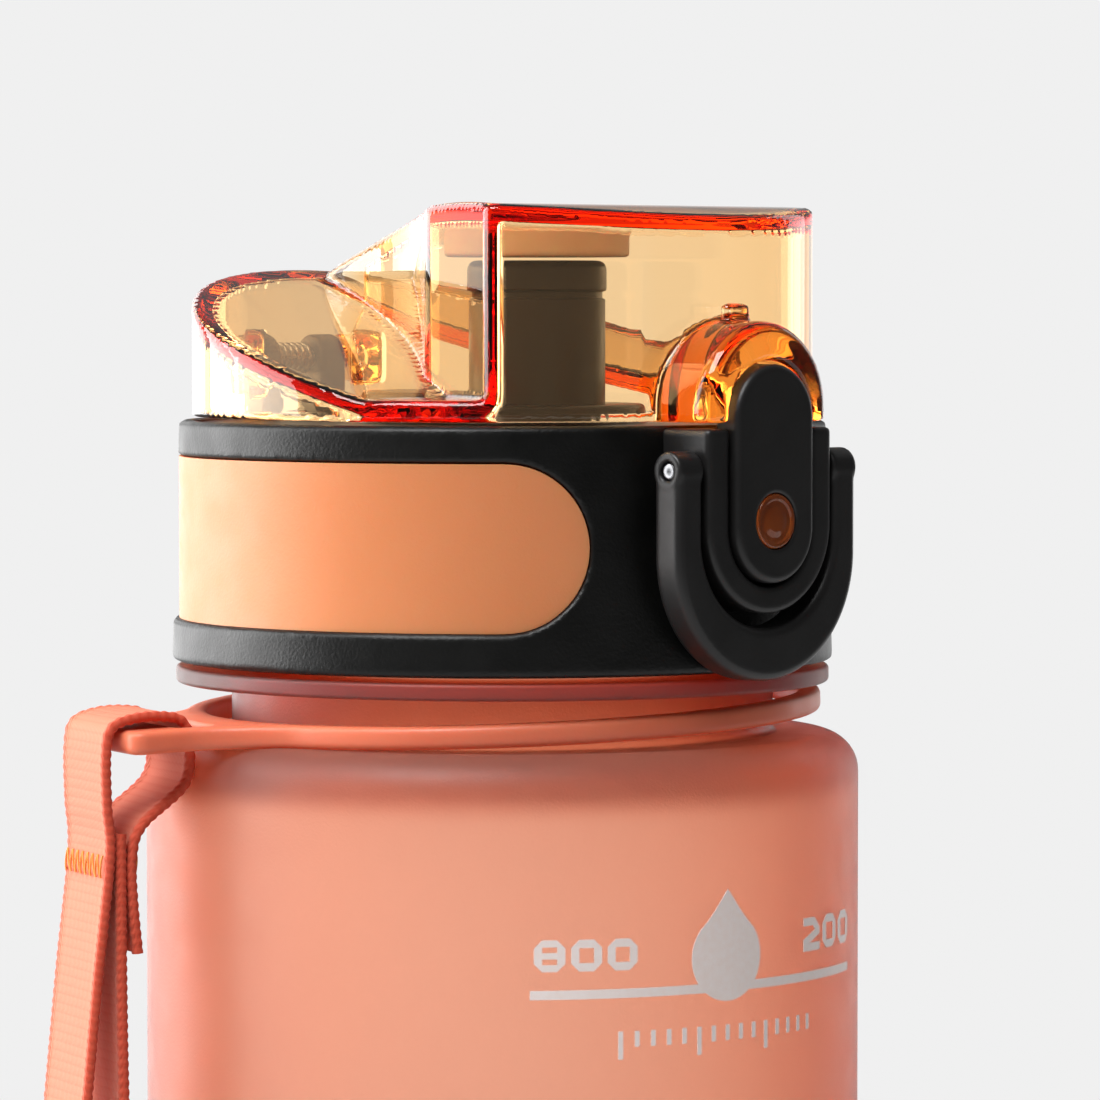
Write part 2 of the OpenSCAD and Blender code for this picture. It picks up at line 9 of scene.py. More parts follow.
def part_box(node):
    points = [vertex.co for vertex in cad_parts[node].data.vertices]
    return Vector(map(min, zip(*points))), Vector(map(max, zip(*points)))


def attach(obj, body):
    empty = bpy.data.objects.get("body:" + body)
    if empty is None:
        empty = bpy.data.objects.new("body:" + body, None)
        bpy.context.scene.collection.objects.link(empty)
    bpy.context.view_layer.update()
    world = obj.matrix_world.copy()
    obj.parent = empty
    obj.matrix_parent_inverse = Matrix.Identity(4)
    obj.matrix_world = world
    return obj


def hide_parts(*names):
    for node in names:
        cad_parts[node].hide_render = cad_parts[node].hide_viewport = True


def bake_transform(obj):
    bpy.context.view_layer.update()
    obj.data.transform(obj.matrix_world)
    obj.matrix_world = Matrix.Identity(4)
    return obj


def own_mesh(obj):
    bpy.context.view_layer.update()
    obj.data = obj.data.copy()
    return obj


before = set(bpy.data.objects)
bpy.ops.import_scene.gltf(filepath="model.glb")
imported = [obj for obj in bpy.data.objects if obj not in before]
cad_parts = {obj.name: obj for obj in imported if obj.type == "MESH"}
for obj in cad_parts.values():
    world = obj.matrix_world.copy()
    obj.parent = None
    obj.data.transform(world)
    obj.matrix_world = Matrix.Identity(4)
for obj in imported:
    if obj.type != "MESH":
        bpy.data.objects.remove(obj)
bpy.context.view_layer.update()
scene = bpy.context.scene
MM = 0.001
TURN = 2 * math.pi


# ---------------------------------------------------------------- places, in millimetres

def low(node):
    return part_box(node)[0] / MM


def high(node):
    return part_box(node)[1] / MM


body_r = high("bottle_body").x
neck_top = high("bottle_body").z
sleeve_z = low("grip_sleeve").z
sleeve_top = high("grip_sleeve").z
sleeve_low_r = high("grip_sleeve").x
sleeve_draft = 0.8
sleeve_top_r = sleeve_low_r - sleeve_draft
sleeve_in = sleeve_top_r - 2.2
deck_top = high("top_deck").z
deck_z = low("top_deck").z
cover_z = low("flip_cover").z
cover_top = high("flip_cover").z
cover_r = sleeve_top_r - 1.6
cover_wall = 2.0
pin_r, knuckle_r = 1.0, 2.9
hinge_y, hinge_z = cover_r + 3.25, sleeve_top + 5.5
pin_y, pin_z = -(sleeve_top_r + 3.6), sleeve_top - 5
spout_y = -6.9
spout_top = high("spout").z
window_low, window_high = sleeve_z + 5, deck_z - 0.9
window_z, window_h = (window_low + window_high) / 2, window_high - window_low
window_end = math.radians(47)
disc_z = sleeve_top - 10.9
lug_dir = math.radians(162)
ring_tilt = math.radians(2.3)
tip_x = body_r + 9
bar_x = tip_x - 3.5
ring_out, ring_in, ring_t = body_r - 4.5, body_r - 7.3, 2.7
ring_z = low("strap_ring").z + tip_x * math.sin(ring_tilt) + ring_t / 2 * math.cos(ring_tilt)


# ---------------------------------------------------------------- camera

CAM_TURN, CAM_RISE, CAM_FAR = math.radians(-43.9), math.radians(2.52), 0.7


def way_to(turn, rise):
    """A direction by its turn about the vertical axis, from the front, and its rise."""
    return Vector((math.sin(turn) * math.cos(rise), -math.cos(turn) * math.cos(rise), math.sin(rise)))


right = Vector((math.cos(CAM_TURN), math.sin(CAM_TURN), 0))
aim = right * 0.00568 + Vector((0, 0, 0.2239))
back = way_to(CAM_TURN, CAM_RISE)
camera = bpy.data.objects.new("camera", bpy.data.cameras.new("camera"))
scene.collection.objects.link(camera)
camera.location = aim + back * CAM_FAR
camera.rotation_mode = "QUATERNION"
camera.rotation_quaternion = (-back).to_track_quat("-Z", "Y")
camera.data.sensor_width = 36
camera.data.lens = 191.75
camera.data.clip_start, camera.data.clip_end = 0.05, 200
scene.camera = camera
scene.view_settings.view_transform = "Standard"
scene.cycles.max_bounces = 28
scene.cycles.transmission_bounces = 28
scene.cycles.glossy_bounces = 10


# ---------------------------------------------------------------- sums on sockets

class Wire:
    """A socket of a node tree. An operator on it adds the Math node that works it out."""

    def __init__(self, socket):
        self.socket = socket

    def out(self, name):
        return Wire(self.socket.node.outputs[name])

    def __add__(self, other):
        return work("ADD", self, other)

    def __sub__(self, other):
        return work("SUBTRACT", self, other)

    def __mul__(self, other):
        return work("MULTIPLY", self, other)

    def __truediv__(self, other):
        return work("DIVIDE", self, other)

    def __rsub__(self, other):
        return work("SUBTRACT", other, self)

    def __neg__(self):
        return work("MULTIPLY", self, -1)

    def __abs__(self):
        return work("ABSOLUTE", self)

    def __pow__(self, other):
        return work("POWER", self, other)

    __radd__ = __add__
    __rmul__ = __mul__


def node(tree, kind, settings=None, values=None, out=0):
    """One node: its settings are set first, then the values or links of its sockets."""
    made = tree.nodes.new(kind)
    for key, value in (settings or {}).items():
        if key == "stops":
            ramp = made.color_ramp.elements
            while len(ramp) < len(value):
                ramp.new(1)
            for stop, (place, colour) in zip(ramp, value):
                stop.position, stop.color = place, colour
        else:
            setattr(made, key, value)
    for key, value in (values or {}).items():
        if isinstance(value, Wire):
            tree.links.new(value.socket, made.inputs[key])
        else:
            made.inputs[key].default_value = value
    return Wire(made.outputs[out])


def work(operation, *parts):
    tree = next(p for p in parts if isinstance(p, Wire)).socket.node.id_data
    return node(tree, "ShaderNodeMath", {"operation": operation}, dict(enumerate(parts)))


def lesser(a, b):
    return work("MINIMUM", a, b)


def greater(a, b):
    return work("MAXIMUM", a, b)


def far(a, b, c=0.0):
    """Length of a vector."""
    tree = next(p for p in (a, b, c) if isinstance(p, Wire)).socket.node.id_data
    joined = node(tree, "ShaderNodeCombineXYZ", None, {"X": a, "Y": b, "Z": c})
    return node(tree, "ShaderNodeVectorMath", {"operation": "LENGTH"}, {0: joined}, "Value")


# ---------------------------------------------------------------- forms, as distances to a surface

def meet(a, b, r=0.0):
    """What two forms share, with a round of radius r along their edge."""
    if not r:
        return greater(a, b)
    return lesser(greater(a, b), -r) + far(greater(a + r, 0), greater(b + r, 0))


def join(a, b, r=0.0):
    """Both forms together, with a fillet of radius r between them."""
    if not r:
        return lesser(a, b)
    return greater(lesser(a, b), r) - far(greater(r - a, 0), greater(r - b, 0))


def between(c, c0, c1):
    return greater(c0 - c, c - c1)


def arch(x, z, half, centre):
    """Open below, with a half circle on top."""
    return far(x, greater(z - centre, 0)) - half


def cup(x, z, half, centre):
    """Open above, with a half circle below."""
    return far(x, lesser(z - centre, 0)) - half


def swept(tree, path, profile, caps=True):
    """A profile carried along a path."""
    return node(tree, "GeometryNodeCurveToMesh", None,
                {"Curve": path, "Profile Curve": profile, "Fill Caps": caps})


def circle(tree, sides, radius):
    return node(tree, "GeometryNodeCurvePrimitiveCircle", None, {"Resolution": sides, "Radius": radius})


def new_tree(name, sizes, geometry=False):
    tree = bpy.data.node_groups.new(name, "GeometryNodeTree")
    tree.interface.new_socket("Geometry", in_out="OUTPUT", socket_type="NodeSocketGeometry")
    if geometry:
        tree.interface.new_socket("Geometry", in_out="INPUT", socket_type="NodeSocketGeometry")
    for key, value in sizes.items():
        kind = "NodeSocketInt" if isinstance(value, int) else "NodeSocketFloat"
        tree.interface.new_socket(key, in_out="INPUT", socket_type=kind)
    tree.interface.new_socket("Finish", in_out="INPUT", socket_type="NodeSocketMaterial")
    return tree, Wire(tree.nodes.new("NodeGroupInput").outputs[0])


def grown(name, tree, shape, sizes, finish, data=None):
    """Ends the tree, runs it on an object with its inputs set, and returns the plain mesh as a piece."""
    start = next(n for n in tree.nodes if n.bl_idname == "NodeGroupInput")
    smooth = node(tree, "GeometryNodeSetShadeSmooth", None, {"Geometry": shape})
    real = node(tree, "GeometryNodeRealizeInstances", None, {"Geometry": smooth})
    coat = Wire(start.outputs["Finish"])
    coated = node(tree, "GeometryNodeSetMaterial", None, {"Geometry": real, "Material": coat})
    end = tree.nodes.new("NodeGroupOutput")
    tree.links.new(coated.socket, end.inputs[0])
    seed = bpy.data.objects.new(name + "_seed", data or bpy.data.meshes.new(name + "_seed"))
    scene.collection.objects.link(seed)
    modifier = seed.modifiers.new("form", "NODES")
    modifier.node_group = tree
    for item in tree.interface.items_tree:
        if item.in_out == "INPUT" and item.name in sizes:
            modifier[item.identifier] = sizes[item.name]
        elif item.in_out == "INPUT" and item.name == "Finish":
            modifier[item.identifier] = finish
    bpy.context.view_layer.update()
    mesh = bpy.data.meshes.new_from_object(seed.evaluated_get(bpy.context.evaluated_depsgraph_get()))
    seed.modifiers.remove(modifier)
    bpy.data.objects.remove(seed)
    return piece_of(name, mesh, finish)


def piece_of(name, mesh, finish, place=None):
    mesh.name = name
    if place is not None:
        mesh.transform(place)
    mesh.materials.clear()
    mesh.materials.append(finish)
    for polygon in mesh.polygons:
        polygon.material_index = 0
    made = bpy.data.objects.new(name, mesh)
    scene.collection.objects.link(made)
    return made


SKIN = 4.0


def moulded(name, form, box_low, box_high, voxel, finish, place=None, **sizes):
    """A moulded piece: the surface where its form is zero, found on a grid of small cells.

    The grid holds SKIN less the form, so the surface is where it reads SKIN."""
    sizes = {key.replace("_", " ").capitalize(): float(value) for key, value in sizes.items()}
    tree, start = new_tree(name + "_form", sizes)
    position = node(tree, "GeometryNodeInputPosition")
    scaled = node(tree, "ShaderNodeVectorMath", {"operation": "SCALE"}, {0: position, "Scale": 1 / MM})
    xyz = node(tree, "ShaderNodeSeparateXYZ", None, {0: scaled})
    named = {key.lower().replace(" ", "_"): start.out(key) for key in sizes}
    distance = form(xyz.out("X"), xyz.out("Y"), xyz.out("Z"), **named)
    solid = lesser(greater(SKIN - distance, 0), 2 * SKIN)
    cells = [int(math.ceil((b - a) / voxel)) + 1 for a, b in zip(box_low, box_high)]
    top = [a + voxel * (n - 1) for a, n in zip(box_low, cells)]
    volume = node(tree, "GeometryNodeVolumeCube", None, {
        "Density": solid, "Background": 0.0, "Min": [v * MM for v in box_low], "Max": [v * MM for v in top],
        "Resolution X": cells[0], "Resolution Y": cells[1], "Resolution Z": cells[2]})
    skin = node(tree, "GeometryNodeVolumeToMesh", None,
                {"Volume": volume, "Threshold": SKIN, "Adaptivity": 0.0})
    made = grown(name, tree, skin, sizes, finish)
    if place is not None:
        made.data.transform(place)
    return made


# ---------------------------------------------------------------- turned and drawn pieces

def rounded(corners, steps=6):
    """A closed outline through corners (a, b, radius), each turned on its radius."""
    out = []
    for i, (a, b, r) in enumerate(corners):
        here = Vector((a, b))
        before, after = Vector(corners[i - 1][:2]) - here, Vector(corners[(i + 1) % len(corners)][:2]) - here
        angle = before.angle(after)
        if r <= 0 or angle > math.pi - 0.02:
            out.append(here)
            continue
        reach = min(r / math.tan(angle / 2), 0.49 * before.length, 0.49 * after.length)
        radius = reach * math.tan(angle / 2)
        centre = here + (before.normalized() + after.normalized()).normalized() * radius / math.sin(angle / 2)
        first = here + before.normalized() * reach - centre
        last = here + after.normalized() * reach - centre
        sweep = first.angle_signed(last)
        for k in range(steps + 1):
            out.append(centre + Matrix.Rotation(-sweep * k / steps, 2) @ first)
    return [(p.x, p.y) for p in out]


def turned(name, outline, finish, place=None, sides=144):
    """A closed outline (radius, height) turned about the vertical axis."""
    points = np.array(outline, float)
    angles = np.arange(sides) * TURN / sides
    ring = np.stack([np.outer(np.cos(angles), points[:, 0]), np.outer(np.sin(angles), points[:, 0]),
                     np.tile(points[:, 1], (sides, 1))], -1).reshape(-1, 3) * MM
    n = len(points)
    faces = [(i * n + j, ((i + 1) % sides) * n + j, ((i + 1) % sides) * n + (j + 1) % n, i * n + (j + 1) % n)
             for i in range(sides) for j in range(n)]
    mesh = bpy.data.meshes.new(name)
    mesh.from_pydata(ring.tolist(), [], faces)
    return tidied(piece_of(name, mesh, finish, place))


def tidied(made, angle=35):
    """Merges doubles, drops empty faces, points the rest outwards and shades smoothly between sharp edges."""
    work_mesh = bmesh.new()
    work_mesh.from_mesh(made.data)
    bmesh.ops.remove_doubles(work_mesh, verts=work_mesh.verts, dist=2e-6)
    bmesh.ops.dissolve_degenerate(work_mesh, edges=work_mesh.edges, dist=1e-7)
    bmesh.ops.recalc_face_normals(work_mesh, faces=work_mesh.faces)
    for face in work_mesh.faces:
        face.smooth = True
    for edge in work_mesh.edges:
        edge.smooth = not (len(edge.link_faces) == 2 and edge.calc_face_angle(0) > math.radians(angle))
    work_mesh.to_mesh(made.data)
    work_mesh.free()
    return made


def along_x(y, z):
    """Places a piece that was turned about the vertical axis on a line along X."""
    return Matrix.Translation((0, y * MM, z * MM)) @ Matrix.Rotation(math.pi / 2, 4, "Y")


# ---------------------------------------------------------------- finishes

def finish_of(name, **sockets):
    """A material with its Principled shader, and the tree to work in."""
    made = bpy.data.materials.new(name)
    made.use_nodes = True
    tree = made.node_tree
    shader = next(n for n in tree.nodes if n.bl_idname == "ShaderNodeBsdfPrincipled")
    for key, value in sockets.items():
        shader.inputs[key.replace("_", " ")].default_value = value
    return made, tree, shader


def colour(r, g, b):
    """A display colour, 0 to 255, as scene-linear values."""
    linear = [((v / 255 + 0.055) / 1.055) ** 2.4 if v > 10.3 else v / 255 / 12.92 for v in (r, g, b)]
    return (*linear, 1.0)


def grain(tree, shader, scale, depth, detail=3.0):
    """Fine surface grain as a bump, scale in cells per metre. Gives the place on the piece."""
    place = node(tree, "ShaderNodeTexCoord", None, None, "Object")
    noise = node(tree, "ShaderNodeTexNoise", None, {"Vector": place, "Scale": scale, "Detail": detail}, "Fac")
    bump = node(tree, "ShaderNodeBump", None, {"Strength": 1.0, "Distance": depth * MM, "Height": noise})
    tree.links.new(bump.socket, shader.inputs["Normal"])
    return place


def mixed(tree, share, a, b):
    """Two colours mixed by a share."""
    return node(tree, "ShaderNodeMix", {"data_type": "RGBA"}, {0: share, 6: a, 7: b}, 2)


def paint(tree, shader, share, dark, pale):
    """The base colour: two display colours mixed by a share."""
    tree.links.new(mixed(tree, share, colour(*dark), colour(*pale)).socket, shader.inputs["Base Color"])


def clouds(tree, place, scale, low_value, high_value, detail=2.0):
    """A slow change of a number over a surface."""
    noise = node(tree, "ShaderNodeTexNoise", None, {"Vector": place, "Scale": scale, "Detail": detail}, "Fac")
    return node(tree, "ShaderNodeMapRange", None, {"Value": noise, "From Min": 0.3, "From Max": 0.7,
                                                   "To Min": low_value, "To Max": high_value})


def plastic(name, tones, tone_scale, roughness, rough_scale, grain_of, details=(2.0, 2.0), **sockets):
    """A plastic with slow changes of tone and roughness, and a fine grain (scale, depth, detail)."""
    made, tree, shader = finish_of(name, **sockets)
    place = grain(tree, shader, *grain_of)
    tone = clouds(tree, place, tone_scale, 0.0, 1.0, details[0])
    paint(tree, shader, tone, *tones)
    rough = clouds(tree, place, rough_scale, *roughness, details[1])
    tree.links.new(rough.socket, shader.inputs["Roughness"])
    return made


def absorbing(finish, tint, density):
    """Lets light through with a tint that deepens with the thickness."""
    tree = finish.node_tree
    volume = node(tree, "ShaderNodeVolumeAbsorption", None, {"Color": tint, "Density": density})
    end = next(n for n in tree.nodes if n.bl_idname == "ShaderNodeOutputMaterial")
    tree.links.new(volume.socket, end.inputs["Volume"])


black_grip = plastic("black_grip", ((3, 3, 2), (7, 7, 6)), 60, (0.36, 0.46), 180, (2600, 0.05), (2.0, 5.0),
                     Specular_IOR_Level=0.36)
black_satin = plastic("black_satin", ((24, 23, 23), (32, 31, 31)), 60, (0.36, 0.46), 180, (1800, 0.018),
                      (2.0, 5.0), Specular_IOR_Level=0.42)
black_smooth = plastic("black_smooth", ((28, 17, 13), (36, 23, 18)), 60, (0.26, 0.36), 180, (900, 0.006),
                       (2.0, 5.0), Specular_IOR_Level=0.15)

clear_orange, tree, shader = finish_of("clear_orange", Transmission_Weight=1.0, IOR=1.49)
place = node(tree, "ShaderNodeTexCoord", None, None, "Object")
tree.links.new(clouds(tree, place, 40, 0.0, 0.014).socket, shader.inputs["Roughness"])
ripple = node(tree, "ShaderNodeTexNoise", None, {"Vector": place, "Scale": 55.0, "Detail": 1.0}, "Fac")
bump = node(tree, "ShaderNodeBump", None, {"Strength": 1.0, "Distance": 0.006 * MM, "Height": ripple})
tree.links.new(bump.socket, shader.inputs["Normal"])
shader.inputs["Base Color"].default_value = (1.0, 0.99, 0.98, 1)
absorbing(clear_orange, (0.985, 0.64, 0.02, 1), 260.0)

frosted_coral = plastic("frosted_coral", ((254, 244, 238), (255, 248, 243)), 22, (0.42, 0.5), 300,
                        (3200, 0.03, 2.0), (3.0, 3.0), Transmission_Weight=0.96, IOR=1.36,
                        Specular_IOR_Level=0.22)
absorbing(frosted_coral, (0.84, 0.28, 0.0, 1), 320.0)
ring_coral = plastic("ring_coral", ((230, 117, 84), (238, 128, 94)), 40, (0.36, 0.46), 200, (2200, 0.02),
                     (2.0, 4.0), Subsurface_Weight=0.25, Subsurface_Scale=0.004, Specular_IOR_Level=0.45)
milky_peach = plastic("milky_peach", ((222, 136, 86), (228, 145, 96)), 30, (0.4, 0.5), 250, (2600, 0.03),
                      (2.0, 4.0), Subsurface_Weight=0.3, Subsurface_Scale=0.004, Specular_IOR_Level=0.35)
silicone = plastic("silicone", ((206, 170, 146), (214, 180, 158)), 80, (0.5, 0.6), 200, (1800, 0.02),
                   Subsurface_Weight=0.4, Subsurface_Scale=0.003, Specular_IOR_Level=0.3)
amber = plastic("amber", ((176, 88, 36), (204, 112, 48)), 300, (0.05, 0.1), 200, (500, 0.001),
                Transmission_Weight=0.75, IOR=1.5, Coat_Roughness=0.05)
printed = plastic("printed_grey", ((252, 236, 230), (254, 242, 238)), 1200, (0.4, 0.55), 400, (4000, 0.01),
                  (4.0, 2.0), Specular_IOR_Level=0.4)

steel, tree, shader = finish_of("steel", Metallic=1.0)
place = grain(tree, shader, 1500, 0.004)
brush = node(tree, "ShaderNodeMapping", None, {"Vector": place, "Scale": (40, 900, 900)})
streak = node(tree, "ShaderNodeTexNoise", None, {"Vector": brush, "Scale": 1.0, "Detail": 4.0}, "Fac")
paint(tree, shader, streak, (128, 129, 132), (164, 165, 168))
tree.links.new((streak * 0.2 + 0.2).socket, shader.inputs["Roughness"])

# Webbing: ribs across the strap with a painted shade of deep red in the gaps between them, and a fine weave
# on each rib
RIB = 1.1
webbing, tree, shader = finish_of("webbing", Sheen_Weight=0.1, Sheen_Roughness=0.5, Specular_IOR_Level=0.2)
length_at = node(tree, "ShaderNodeAttribute", {"attribute_name": "along"}, None, "Fac")
width_at = node(tree, "ShaderNodeAttribute", {"attribute_name": "across"}, None, "Fac")
phase = length_at * (math.pi / RIB)
crest = abs(work("SINE", phase))
# Painted shade: the gaps between the ribs are tinted towards deep red, standing in for the shade in the
# grooves
painted_gap_shade = node(tree, "ShaderNodeMapRange", None, {"Value": crest, "From Min": 0.0, "From Max": 0.55,
                                              "To Min": 1.0, "To Max": 0.0})
yarn = abs(work("SINE", width_at * (math.pi / 0.42) + length_at * (math.pi / RIB)))
place = node(tree, "ShaderNodeTexCoord", None, None, "Object")
fuzz = node(tree, "ShaderNodeTexNoise", None, {"Vector": place, "Scale": 2600.0, "Detail": 4.0}, "Fac")
body_tone = mixed(tree, yarn * 0.6 + fuzz * 0.4, colour(228, 120, 90), colour(238, 146, 116))
# Painted shade: towards both side edges the strap's colour is mixed towards a darker red, standing in for the
# shade and red bounce light on the folded webbing
edge = node(tree, "ShaderNodeMapRange", None, {"Value": abs(width_at), "From Min": 5.2, "From Max": 6.2,
                                               "To Min": 0.0, "To Max": 0.75})
face_tone = mixed(tree, painted_gap_shade * 0.2, body_tone, colour(218, 80, 50))
tree.links.new(mixed(tree, edge, face_tone, colour(208, 58, 34)).socket, shader.inputs["Base Color"])
tree.links.new((fuzz * 0.2 + 0.62).socket, shader.inputs["Roughness"])
weave = node(tree, "ShaderNodeBump", None, {"Strength": 1.0, "Distance": 0.09 * MM,
                                            "Height": yarn * 0.7 + fuzz * 0.5})
tree.links.new(weave.socket, shader.inputs["Normal"])

thread, tree, shader = finish_of("orange_thread", Sheen_Weight=0.3, Specular_IOR_Level=0.3)
place = node(tree, "ShaderNodeTexCoord", None, None, "Object")
twist = node(tree, "ShaderNodeTexWave", None, {"Vector": place, "Scale": 900.0, "Distortion": 2.0}, "Fac")
paint(tree, shader, twist, (238, 140, 48), (250, 168, 82))
tree.links.new((twist * 0.15 + 0.55).socket, shader.inputs["Roughness"])
bump = node(tree, "ShaderNodeBump", None, {"Strength": 1.0, "Distance": 0.03 * MM, "Height": twist})
tree.links.new(bump.socket, shader.inputs["Normal"])


# ---------------------------------------------------------------- bottle

def spun(name, outline, finish, sides):
    """An outline (radius, height) that follows a circle about the vertical axis."""
    data = bpy.data.curves.new(name, "CURVE")
    data.dimensions = "3D"
    spline = data.splines.new("POLY")
    spline.points.add(len(outline) - 1)
    centre = 20.0
    for point, (r, z) in zip(spline.points, outline):
        point.co = ((r - centre) * MM, -z * MM, 0, 1)
    spline.use_cyclic_u = True
    sizes = {"Path radius": centre * MM, "Sides": sides, "Weld": 2e-6}
    tree, start = new_tree(name + "_form", sizes, geometry=True)
    path = circle(tree, start.out("Sides"), start.out("Path radius"))
    skin = swept(tree, path, start.out("Geometry"), False)
    welded = node(tree, "GeometryNodeMergeByDistance", None,
                  {"Geometry": skin, "Distance": start.out("Weld")})
    return tidied(grown(name, tree, welded, sizes, finish, data))


shoulder_r, base_r, wall = 9.5, 6.0, 2.0
flange_z = sleeve_z - 0.6 - 2.0
body_top = flange_z - 6.0
neck_r = body_r - 10.2
finish_r, mouth_r = neck_r - 1.8, neck_r - 4.3
flange_r = sleeve_low_r - 0.4
foot_r = body_r - base_r
punt_r = foot_r - 3.5
shoulder_inner = body_r - wall
bottle_outline = rounded([
    (0.001, 2.5, 0), (punt_r - 2, 2.5, 1.5), (punt_r + 0.8, 0.0, 0.5), (foot_r + 2.2, 0.0, 1.5),
    (body_r, base_r, 5.0), (body_r, body_top - shoulder_r, 0), (body_r, body_top, shoulder_r),
    (neck_r, body_top, 0.8), (neck_r, flange_z, 0.5), (flange_r, flange_z, 0.5),
    (flange_r, flange_z + 2, 0.5), (finish_r, flange_z + 2, 0.5), (finish_r, neck_top, 0.8),
    (mouth_r, neck_top, 0.8), (mouth_r, body_top - wall, 1.5),
    (shoulder_inner, body_top - wall, shoulder_r - wall), (shoulder_inner, 2.0, 4.0),
    (punt_r + 2, 2.2, 1.0), (punt_r, 4.5, 1.0), (0.001, 4.5, 0)], 12)
bottle = spun("bottle_shell", bottle_outline, frosted_coral, 220)


def thread_of(name, radius, depth, z0, pitch, turns, finish):
    """A ridge that follows the thread's helix and fades out at both ends."""
    sizes = {"Radius": radius * MM, "Depth": depth * MM, "Start": z0 * MM, "Pitch": pitch * MM,
             "Turns": float(turns)}
    tree, start = new_tree(name + "_form", sizes)
    path = node(tree, "GeometryNodeCurveSpiral", None, {
        "Resolution": 96, "Rotations": start.out("Turns"), "Start Radius": start.out("Radius"),
        "End Radius": start.out("Radius"), "Height": start.out("Pitch") * start.out("Turns")})
    lifted = node(tree, "GeometryNodeSetPosition", None, {
        "Geometry": path, "Offset": node(tree, "ShaderNodeCombineXYZ", None, {"Z": start.out("Start")})})
    share = node(tree, "GeometryNodeSplineParameter", None, None, "Factor")
    fade = lesser(lesser(share, 1 - share) * 14, 1)
    sized = node(tree, "GeometryNodeSetCurveRadius", None, {"Curve": lifted, "Radius": fade * 0.97 + 0.03})
    skin = swept(tree, sized, circle(tree, 10, start.out("Depth")))
    return grown(name, tree, skin, sizes, finish)


ridge = thread_of("neck_thread", finish_r - 0.1, 1.25, flange_z + 2 + 5.2, 4.5, 1.5, frosted_coral)

# ---------------------------------------------------------------- flip cover

crest_y, roof_r = -0.43 * cover_r, 4.05 * cover_r
scoop_r, scoop_x, scoop_y = 2.05 * cover_r, 2.03 * cover_r, 1.19 * cover_r
facet_x, facet_y, facet_turn = 0.47 * cover_r, -0.11 * cover_r, math.radians(23.4)
knee_y, floor_z, slope = -0.35 * cover_r, cover_z + cover_wall + 0.5, math.radians(17)
arch_half, arch_top = 9.8, sleeve_top + 11.9
pocket_half, pocket_z = 6.65, sleeve_top + 0.75
lug_mid, lug_half = 9.8, 2.0


def cover_form(x, y, z, radius, wall, edge):
    side = abs(x)
    barrel = far(x, y) - radius
    shelf = lesser(z - floor_z, (z - floor_z - (y - knee_y) * math.tan(slope)) * math.cos(slope))
    roof = far(y - crest_y, z - (cover_top - roof_r)) - roof_r
    scoop = scoop_r - far(side - scoop_x, y - scoop_y)
    facet = (side - facet_x) * math.cos(facet_turn) + (y - facet_y) * math.sin(facet_turn)
    tall = meet(roof, meet(scoop, facet, 0.5), edge)
    form = meet(barrel, join(shelf, tall, 0.5), edge)
    front = between(y, -sleeve_top_r - 6, -0.9 * cover_r)
    brow = meet(arch(x, z, arch_half, arch_top - arch_half), front, 1.9)
    solid = join(form, brow, 0.5)
    tab = meet(meet(abs(x) - 1.9, between(y, pin_y + 2.6, pin_y + 4.2), 0.5), z - arch_top - 2, 0.5)
    tab = meet(tab, arch_top - 1 - z)
    solid = join(solid, tab, 0.4)
    barrel_end = far(y - hinge_y, z - hinge_z) - knuckle_r
    web = meet(between(y, 0.92 * cover_r, hinge_y), abs(z - hinge_z) - knuckle_r)
    knuckle = meet(lesser(barrel_end, web), abs(side - lug_mid) - lug_half, 0.4)
    solid = join(solid, knuckle, 0.5)
    solid = meet(solid, -(form + wall), 0.2)
    solid = meet(solid, cover_z - z, 0.35)
    pocket = meet(arch(x, z, pocket_half, pocket_z), y + cover_r + 2.6, 0.3)
    solid = meet(solid, -pocket, 0.35)
    return meet(solid, pin_r + 0.15 - far(y - hinge_y, z - hinge_z))


cover = moulded("clear_cover", cover_form, (-38.0, -45.6, cover_z - 1.2), (38.0, 44.2, cover_top + 1), 0.51,
                clear_orange, radius=cover_r, wall=cover_wall, edge=0.8)


def plug_form(x, y, z, radius):
    roof = far(y - crest_y, z - (cover_top - roof_r)) - (roof_r - cover_wall - 0.1)
    disc = meet(far(x, y - spout_y) - radius, spout_top + 0.4 - z, 0.5)
    rim = meet(disc, far(x, y - spout_y) - radius + 0.01)
    return meet(rim, roof, 0.3)


plug = moulded("plug_pad", plug_form, (-11, spout_y - 11, spout_top - 0.4), (11, spout_y + 11, cover_top),
               0.35, silicone, radius=10.3)

# ---------------------------------------------------------------- sleeve, housing, button, bail, bracket


def sleeve_form(x, y, z, edge):
    r = far(x, y)
    outside = r - sleeve_low_r + (z - sleeve_z - 0.8) * (sleeve_draft / (sleeve_top - sleeve_z - 1.6))
    ring = meet(meet(outside, sleeve_in - r, 0.3), between(z, sleeve_z, sleeve_top), edge)
    past_end = abs(y) * math.cos(window_end) - abs(x) * math.sin(window_end)
    window = far(greater(past_end, 0), z - window_z) - window_h / 2
    return meet(ring, -window, 0.45)


sleeve = moulded("grip_collar", sleeve_form, (-40.2, -40.2, sleeve_z - 0.9), (40.2, 40.2, sleeve_top + 0.9),
                 0.42, black_grip, edge=0.7)


def housing_form(x, y, z, half):
    face_y = -sleeve_top_r - 6
    block = meet(cup(x, z, half, sleeve_top - 21.5 + half), between(y, face_y, -36.6), 0.7)
    block = meet(block, z - sleeve_top + 0.3, 0.6)
    block = meet(block, 37.6 - far(x, y))
    slot = meet(cup(x, z, 6.7, sleeve_top - 18.4 + 6.7), y + sleeve_low_r + 0.25, 0.4)
    return meet(block, -slot, 0.4)


housing = moulded("latch_frame", housing_form, (-11, -45.4, sleeve_top - 22.4), (11, -36.0, sleeve_top + 0.6),
                  0.27, black_satin, half=10.1)


